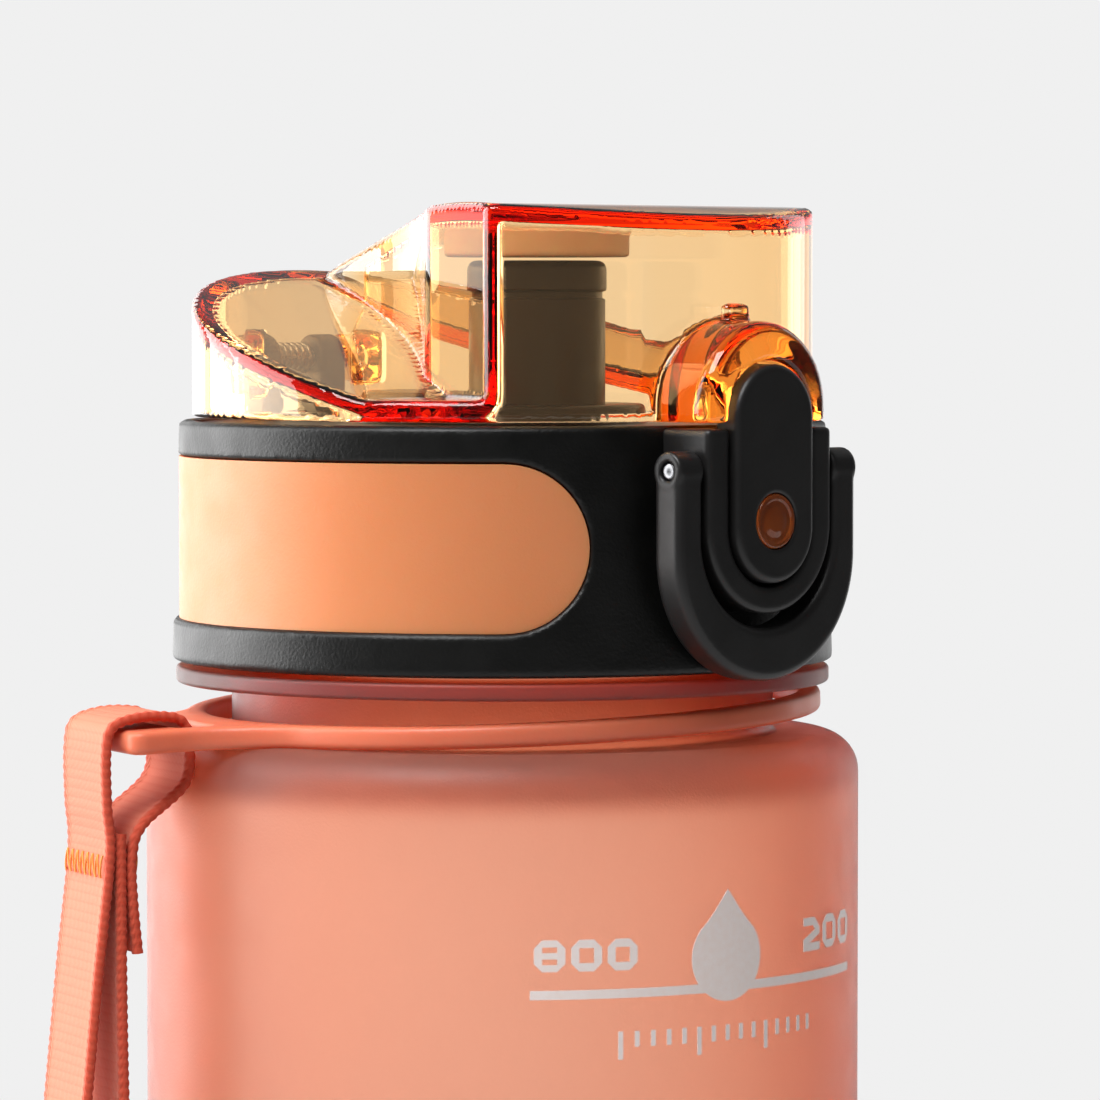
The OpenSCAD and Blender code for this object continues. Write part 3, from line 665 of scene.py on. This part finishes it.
def button_form(x, y, z, half):
    bottom, top = sleeve_top - 18, sleeve_top + 7
    outline = far(x, greater(z - top + half, 0) + lesser(z - bottom - half, 0)) - half
    body = meet(outline, between(y, -sleeve_top_r - 6.9, pin_y + 0.6), 0.75)
    hook = meet(abs(x) - 3, between(z, top - 3.4, top - 1.4), 0.3)
    hook = meet(hook, between(y, pin_y - 0.4, pin_y + 1.5), 0.3)
    body = join(body, hook, 0.3)
    boss = meet(far(y - pin_y, z - pin_z) - 2.3, abs(x) - half, 0.3)
    body = join(body, boss, 0.3)
    seat = meet(far(x, z - disc_z) - 3.2, y + sleeve_top_r + 5.6)
    body = meet(body, -seat, 0.25)
    return meet(body, pin_r + 0.1 - far(y - pin_y, z - pin_z))


button = moulded("push_button", button_form, (-7, -46.2, sleeve_top - 18.8), (7, -38.6, sleeve_top + 7.8),
                 0.23, black_satin, half=6.3)


def bail_form(x, y, z, half, inner):
    bottom, half_t = pin_z - 24.2, 2.25
    hoop = meet(cup(x, z, half, bottom + half), -cup(x, z, inner, bottom + 6.1 + inner), 0.9)
    hoop = meet(hoop, abs(y - pin_y) - half_t, 1.1)
    hoop = meet(hoop, z - pin_z)
    side = abs(x)
    eye = meet(far(y - pin_y, z - pin_z) - half_t, between(side, inner, half), 0.45)
    return meet(join(hoop, eye, 0.2), pin_r + 0.12 - far(y - pin_y, z - pin_z), 0.15)


bail = moulded("locking_bail", bail_form, (-15.2, pin_y - 3, pin_z - 24.9), (15.2, pin_y + 3, pin_z + 3),
               0.26, black_satin, half=14.5, inner=10.6)


def bracket_form(x, y, z, half):
    root = sleeve_top - 14.5
    plate = meet(cup(x, z, half, root + half), between(y, 36.6, hinge_y + knuckle_r), 0.8)
    plate = meet(plate, z - sleeve_top + 0.3, 0.5)
    side = abs(x)
    ear = lesser(far(y - hinge_y, z - hinge_z) - knuckle_r,
                 meet(abs(y - hinge_y) - knuckle_r, between(z, sleeve_top - 2.5, hinge_z)))
    ear = meet(ear, between(side, 3.5, half), 0.5)
    both = meet(join(plate, ear, 0.6), 37.5 - far(x, y))
    return meet(both, pin_r + 0.12 - far(y - hinge_y, z - hinge_z))


bracket = moulded("hinge_block", bracket_form, (-8.3, 36.4, sleeve_top - 15.2), (8.3, 44.0, hinge_z + 3.6),
                  0.27, black_satin, half=7.5)

# ---------------------------------------------------------------- strap ring


def ring_form(x, y, z, outside, inside, thick):
    r = far(x, y)
    lug = meet(between(x, inside, tip_x), abs(y) - 9.8, 2.0)
    flat = join(r - outside, lug, 8.5)
    ring = meet(meet(flat, inside - r, 0.6), abs(z) - thick / 2, 0.75)
    slot = meet(between(x, tip_x - 10.8, tip_x - 7), abs(y) - 7.5, 0.8)
    return meet(ring, -slot, 0.5)


at_ring = (Matrix.Rotation(lug_dir, 4, "Z") @ Matrix.Translation((0, 0, ring_z * MM))
           @ Matrix.Rotation(ring_tilt, 4, "Y"))
ring = moulded("carry_ring", ring_form, (-39.2, -39.2, -2.2), (tip_x + 1, 39.2, 2.2), 0.36, ring_coral,
               at_ring, outside=ring_out, inside=ring_in, thick=ring_t)

# ---------------------------------------------------------------- deck, spout, disc, pins

deck = turned("deck_plate", rounded([
    (0.001, deck_z, 0), (sleeve_in - 0.05, deck_z, 0), (sleeve_in - 0.05, deck_top - 2.2, 0.5),
    (17.4, deck_top - 2.2, 0.4), (17, deck_top, 0.6), (0.001, deck_top, 0)]), black_smooth)

spout_foot = low("spout").z
spout = turned("drinking_spout", rounded([
    (5.2, spout_foot, 0.3), (10, spout_foot, 0.3), (10, spout_foot + 1.75, 0.3), (7.4, spout_foot + 1.8, 0),
    (7.4, spout_top - 4.6, 0.2), (7.05, spout_top - 4.4, 0.15), (7.05, spout_top - 3.7, 0.15),
    (7.6, spout_top - 3.5, 0.3), (7.6, spout_top, 1.3), (5.2, spout_top, 0.6)]), black_smooth,
    Matrix.Translation((0, spout_y * MM, 0)))

disc_y = low("button_disc").y
disc = turned("amber_lens", rounded([
    (0.001, 0.0, 0), (3.1, 0.0, 0.2), (3.1, 1.25, 0.35), (2.55, 1.25, 0.1), (2.35, 1.02, 0.1),
    (1.9, 1.0, 0.1), (1.2, 1.18, 0.3), (0.001, 1.25, 0)]), amber,
    Matrix.Translation((0, (disc_y + 1.3) * MM, disc_z * MM)) @ Matrix.Rotation(math.pi / 2, 4, "X"), 96)


def pin_of(name, half, y, z):
    outline = rounded([(0.001, -half, 0), (pin_r, -half, 0.3), (pin_r, half, 0.3), (0.001, half, 0)])
    return turned(name, outline, steel, along_x(y, z), 48)


latch_pin = pin_of("latch_axle", 14.2, pin_y, pin_z)
hinge_pin = pin_of("hinge_axle", 11.6, hinge_y, hinge_z)


def coil_of(name, radius, wire, length, turns, place):
    """Round wire that follows a helix, then is put in its place."""
    sizes = {"Radius": radius * MM, "Wire": wire * MM, "Length": length * MM, "Turns": float(turns)}
    tree, start = new_tree(name + "_form", sizes)
    path = node(tree, "GeometryNodeCurveSpiral", None, {
        "Resolution": 28, "Rotations": start.out("Turns"), "Start Radius": start.out("Radius"),
        "End Radius": start.out("Radius"), "Height": start.out("Length")})
    skin = swept(tree, path, circle(tree, 10, start.out("Wire")))
    made = grown(name, tree, skin, sizes, steel)
    made.data.transform(place)
    return made


spring = coil_of("hinge_coil", 1.65, 0.28, 6.0, 6, Matrix.Translation((-3.0 * MM, hinge_y * MM, hinge_z * MM))
                 @ Matrix.Rotation(math.pi / 2, 4, "Y"))
coil_y, coil_z, seat_y = high("button_spring").y, disc_z - 2, high("button_spring").y + 0.08
at_seat = (Matrix.Translation((0, (coil_y - 0.25) * MM, coil_z * MM))
           @ Matrix.Rotation(math.pi / 2, 4, "X"))
return_coil = coil_of("return_coil", 1.6, 0.25, coil_y - low("button_spring").y - 0.5, 3, at_seat)

# ---------------------------------------------------------------- strap

web_w, web_t, loop_drop = 13.0, 1.2, 128.0
layer = web_t + 0.15
tack_x = tip_x - 0.1
bar_z = ring_z - bar_x * math.sin(ring_tilt)
tack_z = bar_z - 13.4
tail_route = [(-layer, 0), (-layer - 0.1, -5), (-layer - 0.7, -11)]
bar_dx, bar_dz = bar_x - tack_x, bar_z - tack_z
wrap_route = [(-layer, 0), (-2.6, 3.6), (bar_dx - 4.5, 8.2), (bar_dx - 5.1, bar_dz - 0.6),
              (bar_dx - 4.2, bar_dz + 2.1), (bar_dx - 1.2, bar_dz + 2.75), (bar_dx + 2.2, bar_dz + 2.5),
              (bar_dx + 4.6, bar_dz + 1.4), (bar_dx + 5.2, bar_dz - 1.6), (bar_dx + 5.1, 6), (layer, 0)]
loop_route = [(layer, 0), (2.9, -14), (4.5, -30), (7.1, -0.42 * loop_drop), (10.1, -0.66 * loop_drop),
              (11.4, -0.82 * loop_drop), (9.6, -0.94 * loop_drop), (4.6, -loop_drop),
              (-1.4, -0.97 * loop_drop), (-4.1, -0.88 * loop_drop), (-4, -0.73 * loop_drop),
              (-2.5, -0.53 * loop_drop), (-0.9, -0.34 * loop_drop), (-0.3, -28), (-0.05, -12), (0, 0)]
strap_path = tail_route[::-1] + wrap_route[1:] + loop_route[1:] + [(0.0, 2.6)]


def smooth_path(points, steps):
    """A smooth curve through points, in even shares between each pair."""
    p = np.array(points, float)
    out = []
    for i in range(len(p) - 1):
        a, b, c, d = p[max(i - 1, 0)], p[i], p[i + 1], p[min(i + 2, len(p) - 1)]
        for u in np.arange(steps) / steps:
            out.append(0.5 * (2 * b + (c - a) * u + (2 * a - 5 * b + 4 * c - d) * u * u
                              + (3 * b - 3 * c + d - a) * u ** 3))
    return np.array(out + [p[-1]])


def at_lug(x, y, z):
    """A point beside the strap's plane, in metres: x out along the lug, y across the strap."""
    c, s = math.cos(lug_dir), math.sin(lug_dir)
    return Vector((((tack_x + x) * c - y * s) * MM, ((tack_x + x) * s + y * c) * MM, (tack_z + z) * MM))


line = smooth_path(strap_path, 10)


def strap_of(name, finish):
    """The folded webbing: a flat profile along its route, with ribs raised across it."""
    corner = 0.3 * MM
    data = bpy.data.curves.new(name, "CURVE")
    data.dimensions = "3D"
    spline = data.splines.new("POLY")
    spline.points.add(len(line) - 1)
    for point, (x, z) in zip(spline.points, line):
        point.co = (*at_lug(x, 0, z), 1)
    sizes = {"Step": RIB / 5 * MM, "Width": web_w * MM, "Thickness": web_t * MM, "Rib": RIB * MM,
             "Rib depth": 0.2 * MM, "Edge": 1.3 * MM}
    tree, start = new_tree(name + "_form", sizes, geometry=True)
    path = node(tree, "GeometryNodeResampleCurve", {"mode": "LENGTH"},
                {"Curve": start.out("Geometry"), "Length": start.out("Step")})
    measured = tree.nodes.new("GeometryNodeCaptureAttribute")
    measured.capture_items.new("FLOAT", "Along")
    tree.links.new(path.socket, measured.inputs["Geometry"])
    run = node(tree, "GeometryNodeSplineParameter", None, None, "Length")
    tree.links.new(run.socket, measured.inputs["Along"])
    box = node(tree, "GeometryNodeCurvePrimitiveQuadrilateral", None, {
        "Width": start.out("Width") - corner, "Height": start.out("Thickness") - start.out("Rib depth") * 2})
    filleted = node(tree, "GeometryNodeFilletCurve", {"mode": "POLY"},
                    {"Curve": box, "Count": 2, "Radius": corner})
    fine = node(tree, "GeometryNodeResampleCurve", {"mode": "LENGTH"},
                {"Curve": filleted, "Length": 0.5 * MM})
    crossed = tree.nodes.new("GeometryNodeCaptureAttribute")
    crossed.capture_items.new("VECTOR", "Across")
    tree.links.new(fine.socket, crossed.inputs["Geometry"])
    tree.links.new(node(tree, "GeometryNodeInputPosition").socket, crossed.inputs["Across"])
    skin = swept(tree, Wire(measured.outputs["Geometry"]), Wire(crossed.outputs["Geometry"]))
    along = Wire(measured.outputs["Along"])
    across = node(tree, "ShaderNodeSeparateXYZ", None, {0: Wire(crossed.outputs["Across"])}).out("X")
    edge_share = greater(abs(across) - start.out("Width") / 2 + start.out("Edge"), 0) / start.out("Edge")
    at_edge = work("GREATER_THAN", edge_share, 0.05)
    swing = abs(work("SINE", along * math.pi / start.out("Rib") + at_edge * (math.pi / 2)))
    height = swing ** 0.6 * start.out("Rib depth") * (at_edge * 0.78 + 0.22) + at_edge * (0.05 * MM)
    normal = node(tree, "GeometryNodeInputNormal")
    offset = node(tree, "ShaderNodeVectorMath", {"operation": "SCALE"}, {0: normal, "Scale": height})
    ribbed = node(tree, "GeometryNodeSetPosition", None, {"Geometry": skin, "Offset": offset})
    kept = node(tree, "GeometryNodeStoreNamedAttribute", {"data_type": "FLOAT", "domain": "POINT"},
                {"Geometry": ribbed, "Name": "along", "Value": along / MM})
    kept = node(tree, "GeometryNodeStoreNamedAttribute", {"data_type": "FLOAT", "domain": "POINT"},
                {"Geometry": kept, "Name": "across", "Value": across / MM})
    return grown(name, tree, kept, sizes, finish, data)


strap = strap_of("webbing_strap", webbing)


def stitches_of(name, finish):
    """A row of leaning stitches on each face of the sewn layers."""
    sizes = {"Count": 15, "Pitch": 0.78 * MM, "Thread": 0.13 * MM, "Lean": 0.24}
    tree, start = new_tree(name + "_form", sizes)
    row_z, half_stitch, sunk, bow_out = -1.0, 1.35, 0.14, 0.16
    rows = []
    for side, proud in ((1, 0.31), (-1, 0.05)):
        points = node(tree, "GeometryNodePoints", None, {"Count": start.out("Count"), "Radius": 0.001})
        index = node(tree, "GeometryNodeInputIndex")
        shift = (index - (start.out("Count") - 1) * 0.5) * start.out("Pitch")
        face = (1.5 * layer + proud) * side * MM
        spot = node(tree, "ShaderNodeCombineXYZ", None, {"X": face, "Y": shift, "Z": row_z * MM})
        placed = node(tree, "GeometryNodeSetPosition", None, {"Geometry": points, "Position": spot})
        bar = node(tree, "GeometryNodeCurvePrimitiveLine", None, {
            "Start": (0, 0, -half_stitch * MM), "End": (0, 0, half_stitch * MM)})
        bent = node(tree, "GeometryNodeResampleCurve", {"mode": "COUNT"}, {"Curve": bar, "Count": 7})
        share = node(tree, "GeometryNodeSplineParameter", None, None, "Factor")
        bow = node(tree, "ShaderNodeCombineXYZ", None, {
            "X": work("SINE", share * math.pi) ** 0.5 * (bow_out * MM * side) - sunk * MM * side})
        bent = node(tree, "GeometryNodeSetPosition", None, {"Geometry": bent, "Offset": bow})
        solid = swept(tree, bent, circle(tree, 8, start.out("Thread")))
        lean = work("MODULO", index, 2.0) * 2 - 1
        turn = node(tree, "ShaderNodeCombineXYZ", None, {"X": lean * start.out("Lean")})
        rows.append(node(tree, "GeometryNodeInstanceOnPoints", None,
                         {"Points": placed, "Instance": solid, "Rotation": turn}))
    joined = tree.nodes.new("GeometryNodeJoinGeometry")
    for row in rows:
        tree.links.new(row.socket, joined.inputs[0])
    made = grown(name, tree, Wire(joined.outputs[0]), sizes, finish)
    made.data.transform(Matrix.Translation(at_lug(0, 0, 0)) @ Matrix.Rotation(lug_dir, 4, "Z"))
    return made


stitches = stitches_of("bar_tack", thread)

# ---------------------------------------------------------------- print on the bottle

PRINT_TURN = CAM_TURN - math.pi / 2


def wrapped(name, outlines, finish, thick=0.05):
    """Flat closed outlines, in millimetres round the bottle and up, laid on its wall."""
    data = bpy.data.curves.new(name, "CURVE")
    data.dimensions, data.fill_mode = "2D", "BOTH"
    for points in outlines:
        spline = data.splines.new("POLY")
        spline.points.add(len(points) - 1)
        for point, (x, y) in zip(spline.points, points):
            point.co = (x, y, 0, 1)
        spline.use_cyclic_u = True
    drawn = bpy.data.objects.new(name + "_flat", data)
    scene.collection.objects.link(drawn)
    bpy.context.view_layer.update()
    flat = bpy.data.meshes.new_from_object(drawn)
    bpy.data.objects.remove(drawn)
    mesh = bmesh.new()
    mesh.from_mesh(flat)
    bmesh.ops.remove_doubles(mesh, verts=mesh.verts, dist=1e-4)
    xs = [v.co.x for v in mesh.verts]
    for cut in np.arange(math.floor(min(xs)) + 0.5, max(xs), 1.0):
        bmesh.ops.bisect_plane(mesh, geom=mesh.verts[:] + mesh.edges[:] + mesh.faces[:],
                               plane_co=(cut, 0, 0), plane_no=(1, 0, 0))
    bmesh.ops.recalc_face_normals(mesh, faces=mesh.faces)
    if sum(f.normal.z for f in mesh.faces) < 0:
        bmesh.ops.reverse_faces(mesh, faces=mesh.faces)
    raised = bmesh.ops.extrude_face_region(mesh, geom=mesh.faces[:])
    for v in raised["geom"]:
        if isinstance(v, bmesh.types.BMVert):
            v.co.z += thick
    for v in mesh.verts:
        angle, r = PRINT_TURN + v.co.x / body_r, body_r + 0.01 + v.co.z
        v.co = Vector((r * math.cos(angle), r * math.sin(angle), v.co.y)) * MM
    bmesh.ops.recalc_face_normals(mesh, faces=mesh.faces)
    mesh.to_mesh(flat)
    mesh.free()
    for polygon in flat.polygons:
        polygon.use_smooth = False
    return piece_of(name, flat, finish)


def stroke(points, width):
    """A bar of one width along an open line with square corners."""
    p = [Vector(q) for q in points]
    left, right = [], []
    for i, here in enumerate(p):
        before = here - p[i - 1] if i else p[1] - p[0]
        after = p[i + 1] - here if i < len(p) - 1 else p[-1] - p[-2]
        a, b = before.normalized(), after.normalized()
        normal = Vector((-a.y, a.x))
        middle = (normal + Vector((-b.y, b.x))).normalized()
        reach = width / 2 / max(0.35, middle.dot(normal))
        left.append(tuple(here + middle * reach))
        right.append(tuple(here - middle * reach))
    return [left + right[::-1]]


def bar(x0, x1, y0, y1):
    return [(x0, y0), (x1, y0), (x1, y1), (x0, y1)]


def digit(mark, x, y, w, h, bold):
    """A plain 0, 2 or 8 with clipped corners, its lower left at x, y."""
    c = 0.26 * w
    x1, y1, middle = x + w, y + h, y + h / 2
    if mark == "2":
        a, b = x + bold / 2, x1 - bold / 2
        return stroke([(x, y1 - bold / 2), (b - c, y1 - bold / 2), (b, y1 - bold / 2 - c),
                       (b, middle + c * 0.3), (a, middle - c * 0.9), (a, y + bold / 2),
                       (x1, y + bold / 2)], bold)
    outer = [(x + c, y), (x1 - c, y), (x1, y + c), (x1, y1 - c), (x1 - c, y1), (x + c, y1), (x, y1 - c),
             (x, y + c)]
    if mark == "0":
        return [outer, bar(x + bold, x1 - bold, y + bold, y1 - bold)]
    return [outer, bar(x + bold, x1 - bold, y + bold * 0.85, middle - bold * 0.38),
            bar(x + bold, x1 - bold, middle + bold * 0.38, y1 - bold * 0.85)]


def drop(x, y, w, h):
    """A drop with a pointed top, its round bottom at y."""
    r = w / 2
    lean = math.asin(r / (h - r))
    points = [(x + r * math.cos(a), y + r + r * math.sin(a)) for a in np.linspace(lean, -math.pi - lean, 40)]
    bulge = []
    for k in range(1, 12):
        t = k / 12
        px = points[0][0] * (1 - t) + x * t
        bulge.append((px - 0.35 * math.sin(math.pi * t) * (1 - t), points[0][1] * (1 - t) + (y + h) * t))
    mirror = [(2 * x - a, b) for a, b in bulge[::-1]]
    return points[::-1] + bulge + [(x, y + h)] + mirror


line_x0, line_x1, line_z = 3.4, 53.95, 175.0
drop_x = 27.9
bold, ticks_z, tick_w = 0.95, line_z - 3.8, 0.6
marks = [bar(line_x0, line_x1, line_z, line_z + 1.05)]
for number, x, step, rise, w, h in (("800", line_x0 + 0.45, 4.25, 3.15, 3.6, 3.6),
                                    ("200", line_x1 - 12.9, 4.55, 3.4, 3.8, 3.9)):
    for k, mark in enumerate(number):
        marks += digit(mark, x + k * step, line_z + rise, w, h, bold)
for k in range(15):
    tall = 3.2 if k % 5 == 0 else 1.8
    tick_x = drop_x - 14.3 + k * 2
    marks.append(bar(tick_x, tick_x + tick_w, ticks_z - tall, ticks_z))
prints = [wrapped("scale_marks", marks, printed),
          wrapped("drop_mark", [drop(drop_x, line_z - 1.1, 10.1, 12.8)], printed, 0.06)]

# ---------------------------------------------------------------- riding, slots and replaced nodes

for made, body, slot, nodes in (
        (bottle, "bottle", "frosted_body", ["bottle_body"]), (ridge, "bottle", "frosted_body", []),
        (cover, "cover", "cover_plastic", ["flip_cover"]), (plug, "cover", "silicone", ["spout_plug"]),
        (sleeve, "lid", "black_grip", ["grip_sleeve"]), (housing, "lid", "black_plastic", ["latch_housing"]),
        (button, "button", "black_plastic", ["release_button"]),
        (disc, "button", "amber_disc", ["button_disc"]), (bail, "bail", "black_plastic", ["lock_bail"]),
        (bracket, "lid", "black_plastic", ["hinge_bracket"]),
        (ring, "ring", "strap_ring_plastic", ["strap_ring"]), (deck, "lid", "black_plastic", ["top_deck"]),
        (spout, "lid", "black_plastic", ["spout"]), (latch_pin, "lid", "steel", ["latch_pin"]),
        (hinge_pin, "lid", "steel", ["hinge_pin"]), (spring, "lid", "steel", ["hinge_spring"]),
        (return_coil, "lid", "steel", ["button_spring"]),
        (stitches, "strap", "stitching", ["strap_stitching"])):
    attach(made, body)
    if nodes:
        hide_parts(*nodes)
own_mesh(return_coil)
for made in prints:
    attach(made, "bottle")
at_lug(0, 0, 2.6)
at_lug(0, 0, -0.4)
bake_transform(strap)
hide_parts("strap_wrap", "strap_loop")

for name, finish in (("lid_core", milky_peach), ("neck_gasket", silicone), ("spout_gasket", silicone)):
    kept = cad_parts[name].data
    kept.materials.clear()
    kept.materials.append(finish)

# ---------------------------------------------------------------- floor, light and backdrop

floor_finish, tree, shader = finish_of("pale_floor", Roughness=0.9, Specular_IOR_Level=0.1,
                                       Emission_Color=(1, 1, 1, 1), Emission_Strength=0.715)
place = node(tree, "ShaderNodeTexCoord", None, None, "Object")
tone = clouds(tree, place, 0.7, 0.0, 1.0)
paint(tree, shader, tone, (226, 226, 226), (228, 228, 228))
reach = 0.8
rim = [(reach * math.cos(a), reach * math.sin(a), 0) for a in np.arange(96) * TURN / 96]
floor_mesh = bpy.data.meshes.new("floor")
floor_mesh.from_pydata(rim, [], [list(range(96))])
floor = piece_of("floor", floor_mesh, floor_finish)
unlit = bpy.data.collections.new("not_lit_by_lamps")
unlit.objects.link(floor)
unlit.collection_objects[0].light_linking.link_state = "EXCLUDE"

# A pale surround, straight on and through the clear pieces. What glossy pieces mirror is dim at the front
world = bpy.data.worlds.new("studio")
scene.world = world
world.use_nodes = True
sky = world.node_tree
shade = next(n for n in sky.nodes if n.bl_idname == "ShaderNodeBackground")
bright_way = way_to(CAM_TURN + math.radians(-150), math.radians(10))
way_out = node(sky, "ShaderNodeTexCoord", None, None, "Generated")
facing = node(sky, "ShaderNodeVectorMath", {"operation": "DOT_PRODUCT"}, {0: way_out, 1: bright_way}, "Value")
glow = node(sky, "ShaderNodeMapRange", {"interpolation_type": "SMOOTHSTEP"}, {
    "Value": facing, "From Min": -0.2, "From Max": 0.7, "To Min": 0.0, "To Max": 1.0})
height = node(sky, "ShaderNodeSeparateXYZ", None, {0: way_out}).out("Z")
dimmed = node(sky, "ShaderNodeMapRange", {"interpolation_type": "SMOOTHSTEP"}, {
    "Value": height, "From Min": 0.02, "From Max": 0.12, "To Min": 1.0, "To Max": 0.18})
straight = node(sky, "ShaderNodeLightPath", None, None, "Is Camera Ray")
through = straight.out("Is Transmission Ray")
mirrored = (1 - straight) * (1 - through) * (glow * dimmed + 0.08)
sky.links.new((straight * 0.871 + through + mirrored).socket, shade.inputs["Strength"])
shade.inputs["Color"].default_value = (1, 1, 1, 1)


def softbox(name, turn, rise, distance, width, height, watts):
    """A soft rectangular lamp that faces the lid, placed by its turn from the camera, rise and distance."""
    data = bpy.data.lights.new(name, "AREA")
    data.shape, data.size, data.size_y, data.energy = "RECTANGLE", width, height, watts
    lamp = bpy.data.objects.new(name, data)
    scene.collection.objects.link(lamp)
    way = way_to(CAM_TURN + math.radians(turn), math.radians(rise))
    lamp.location = Vector((0, 0, 0.22)) + way * distance
    lamp.rotation_mode = "QUATERNION"
    lamp.rotation_quaternion = way.to_track_quat("Z", "Y")
    lamp.light_linking.receiver_collection = unlit
    lamp.visible_camera = False


for row in (("key_left", -97, 14, 1.2, 0.8, 1.2, 17), ("top_front", -36, 56, 1.2, 0.7, 0.6, 16),
            ("side_back", -124, 7, 1.2, 0.5, 0.8, 6), ("back_left", -156, 7, 1.2, 0.6, 0.8, 3),
            ("back_right", 140, 12, 1.4, 0.5, 1.0, 2)):
    softbox(*row)
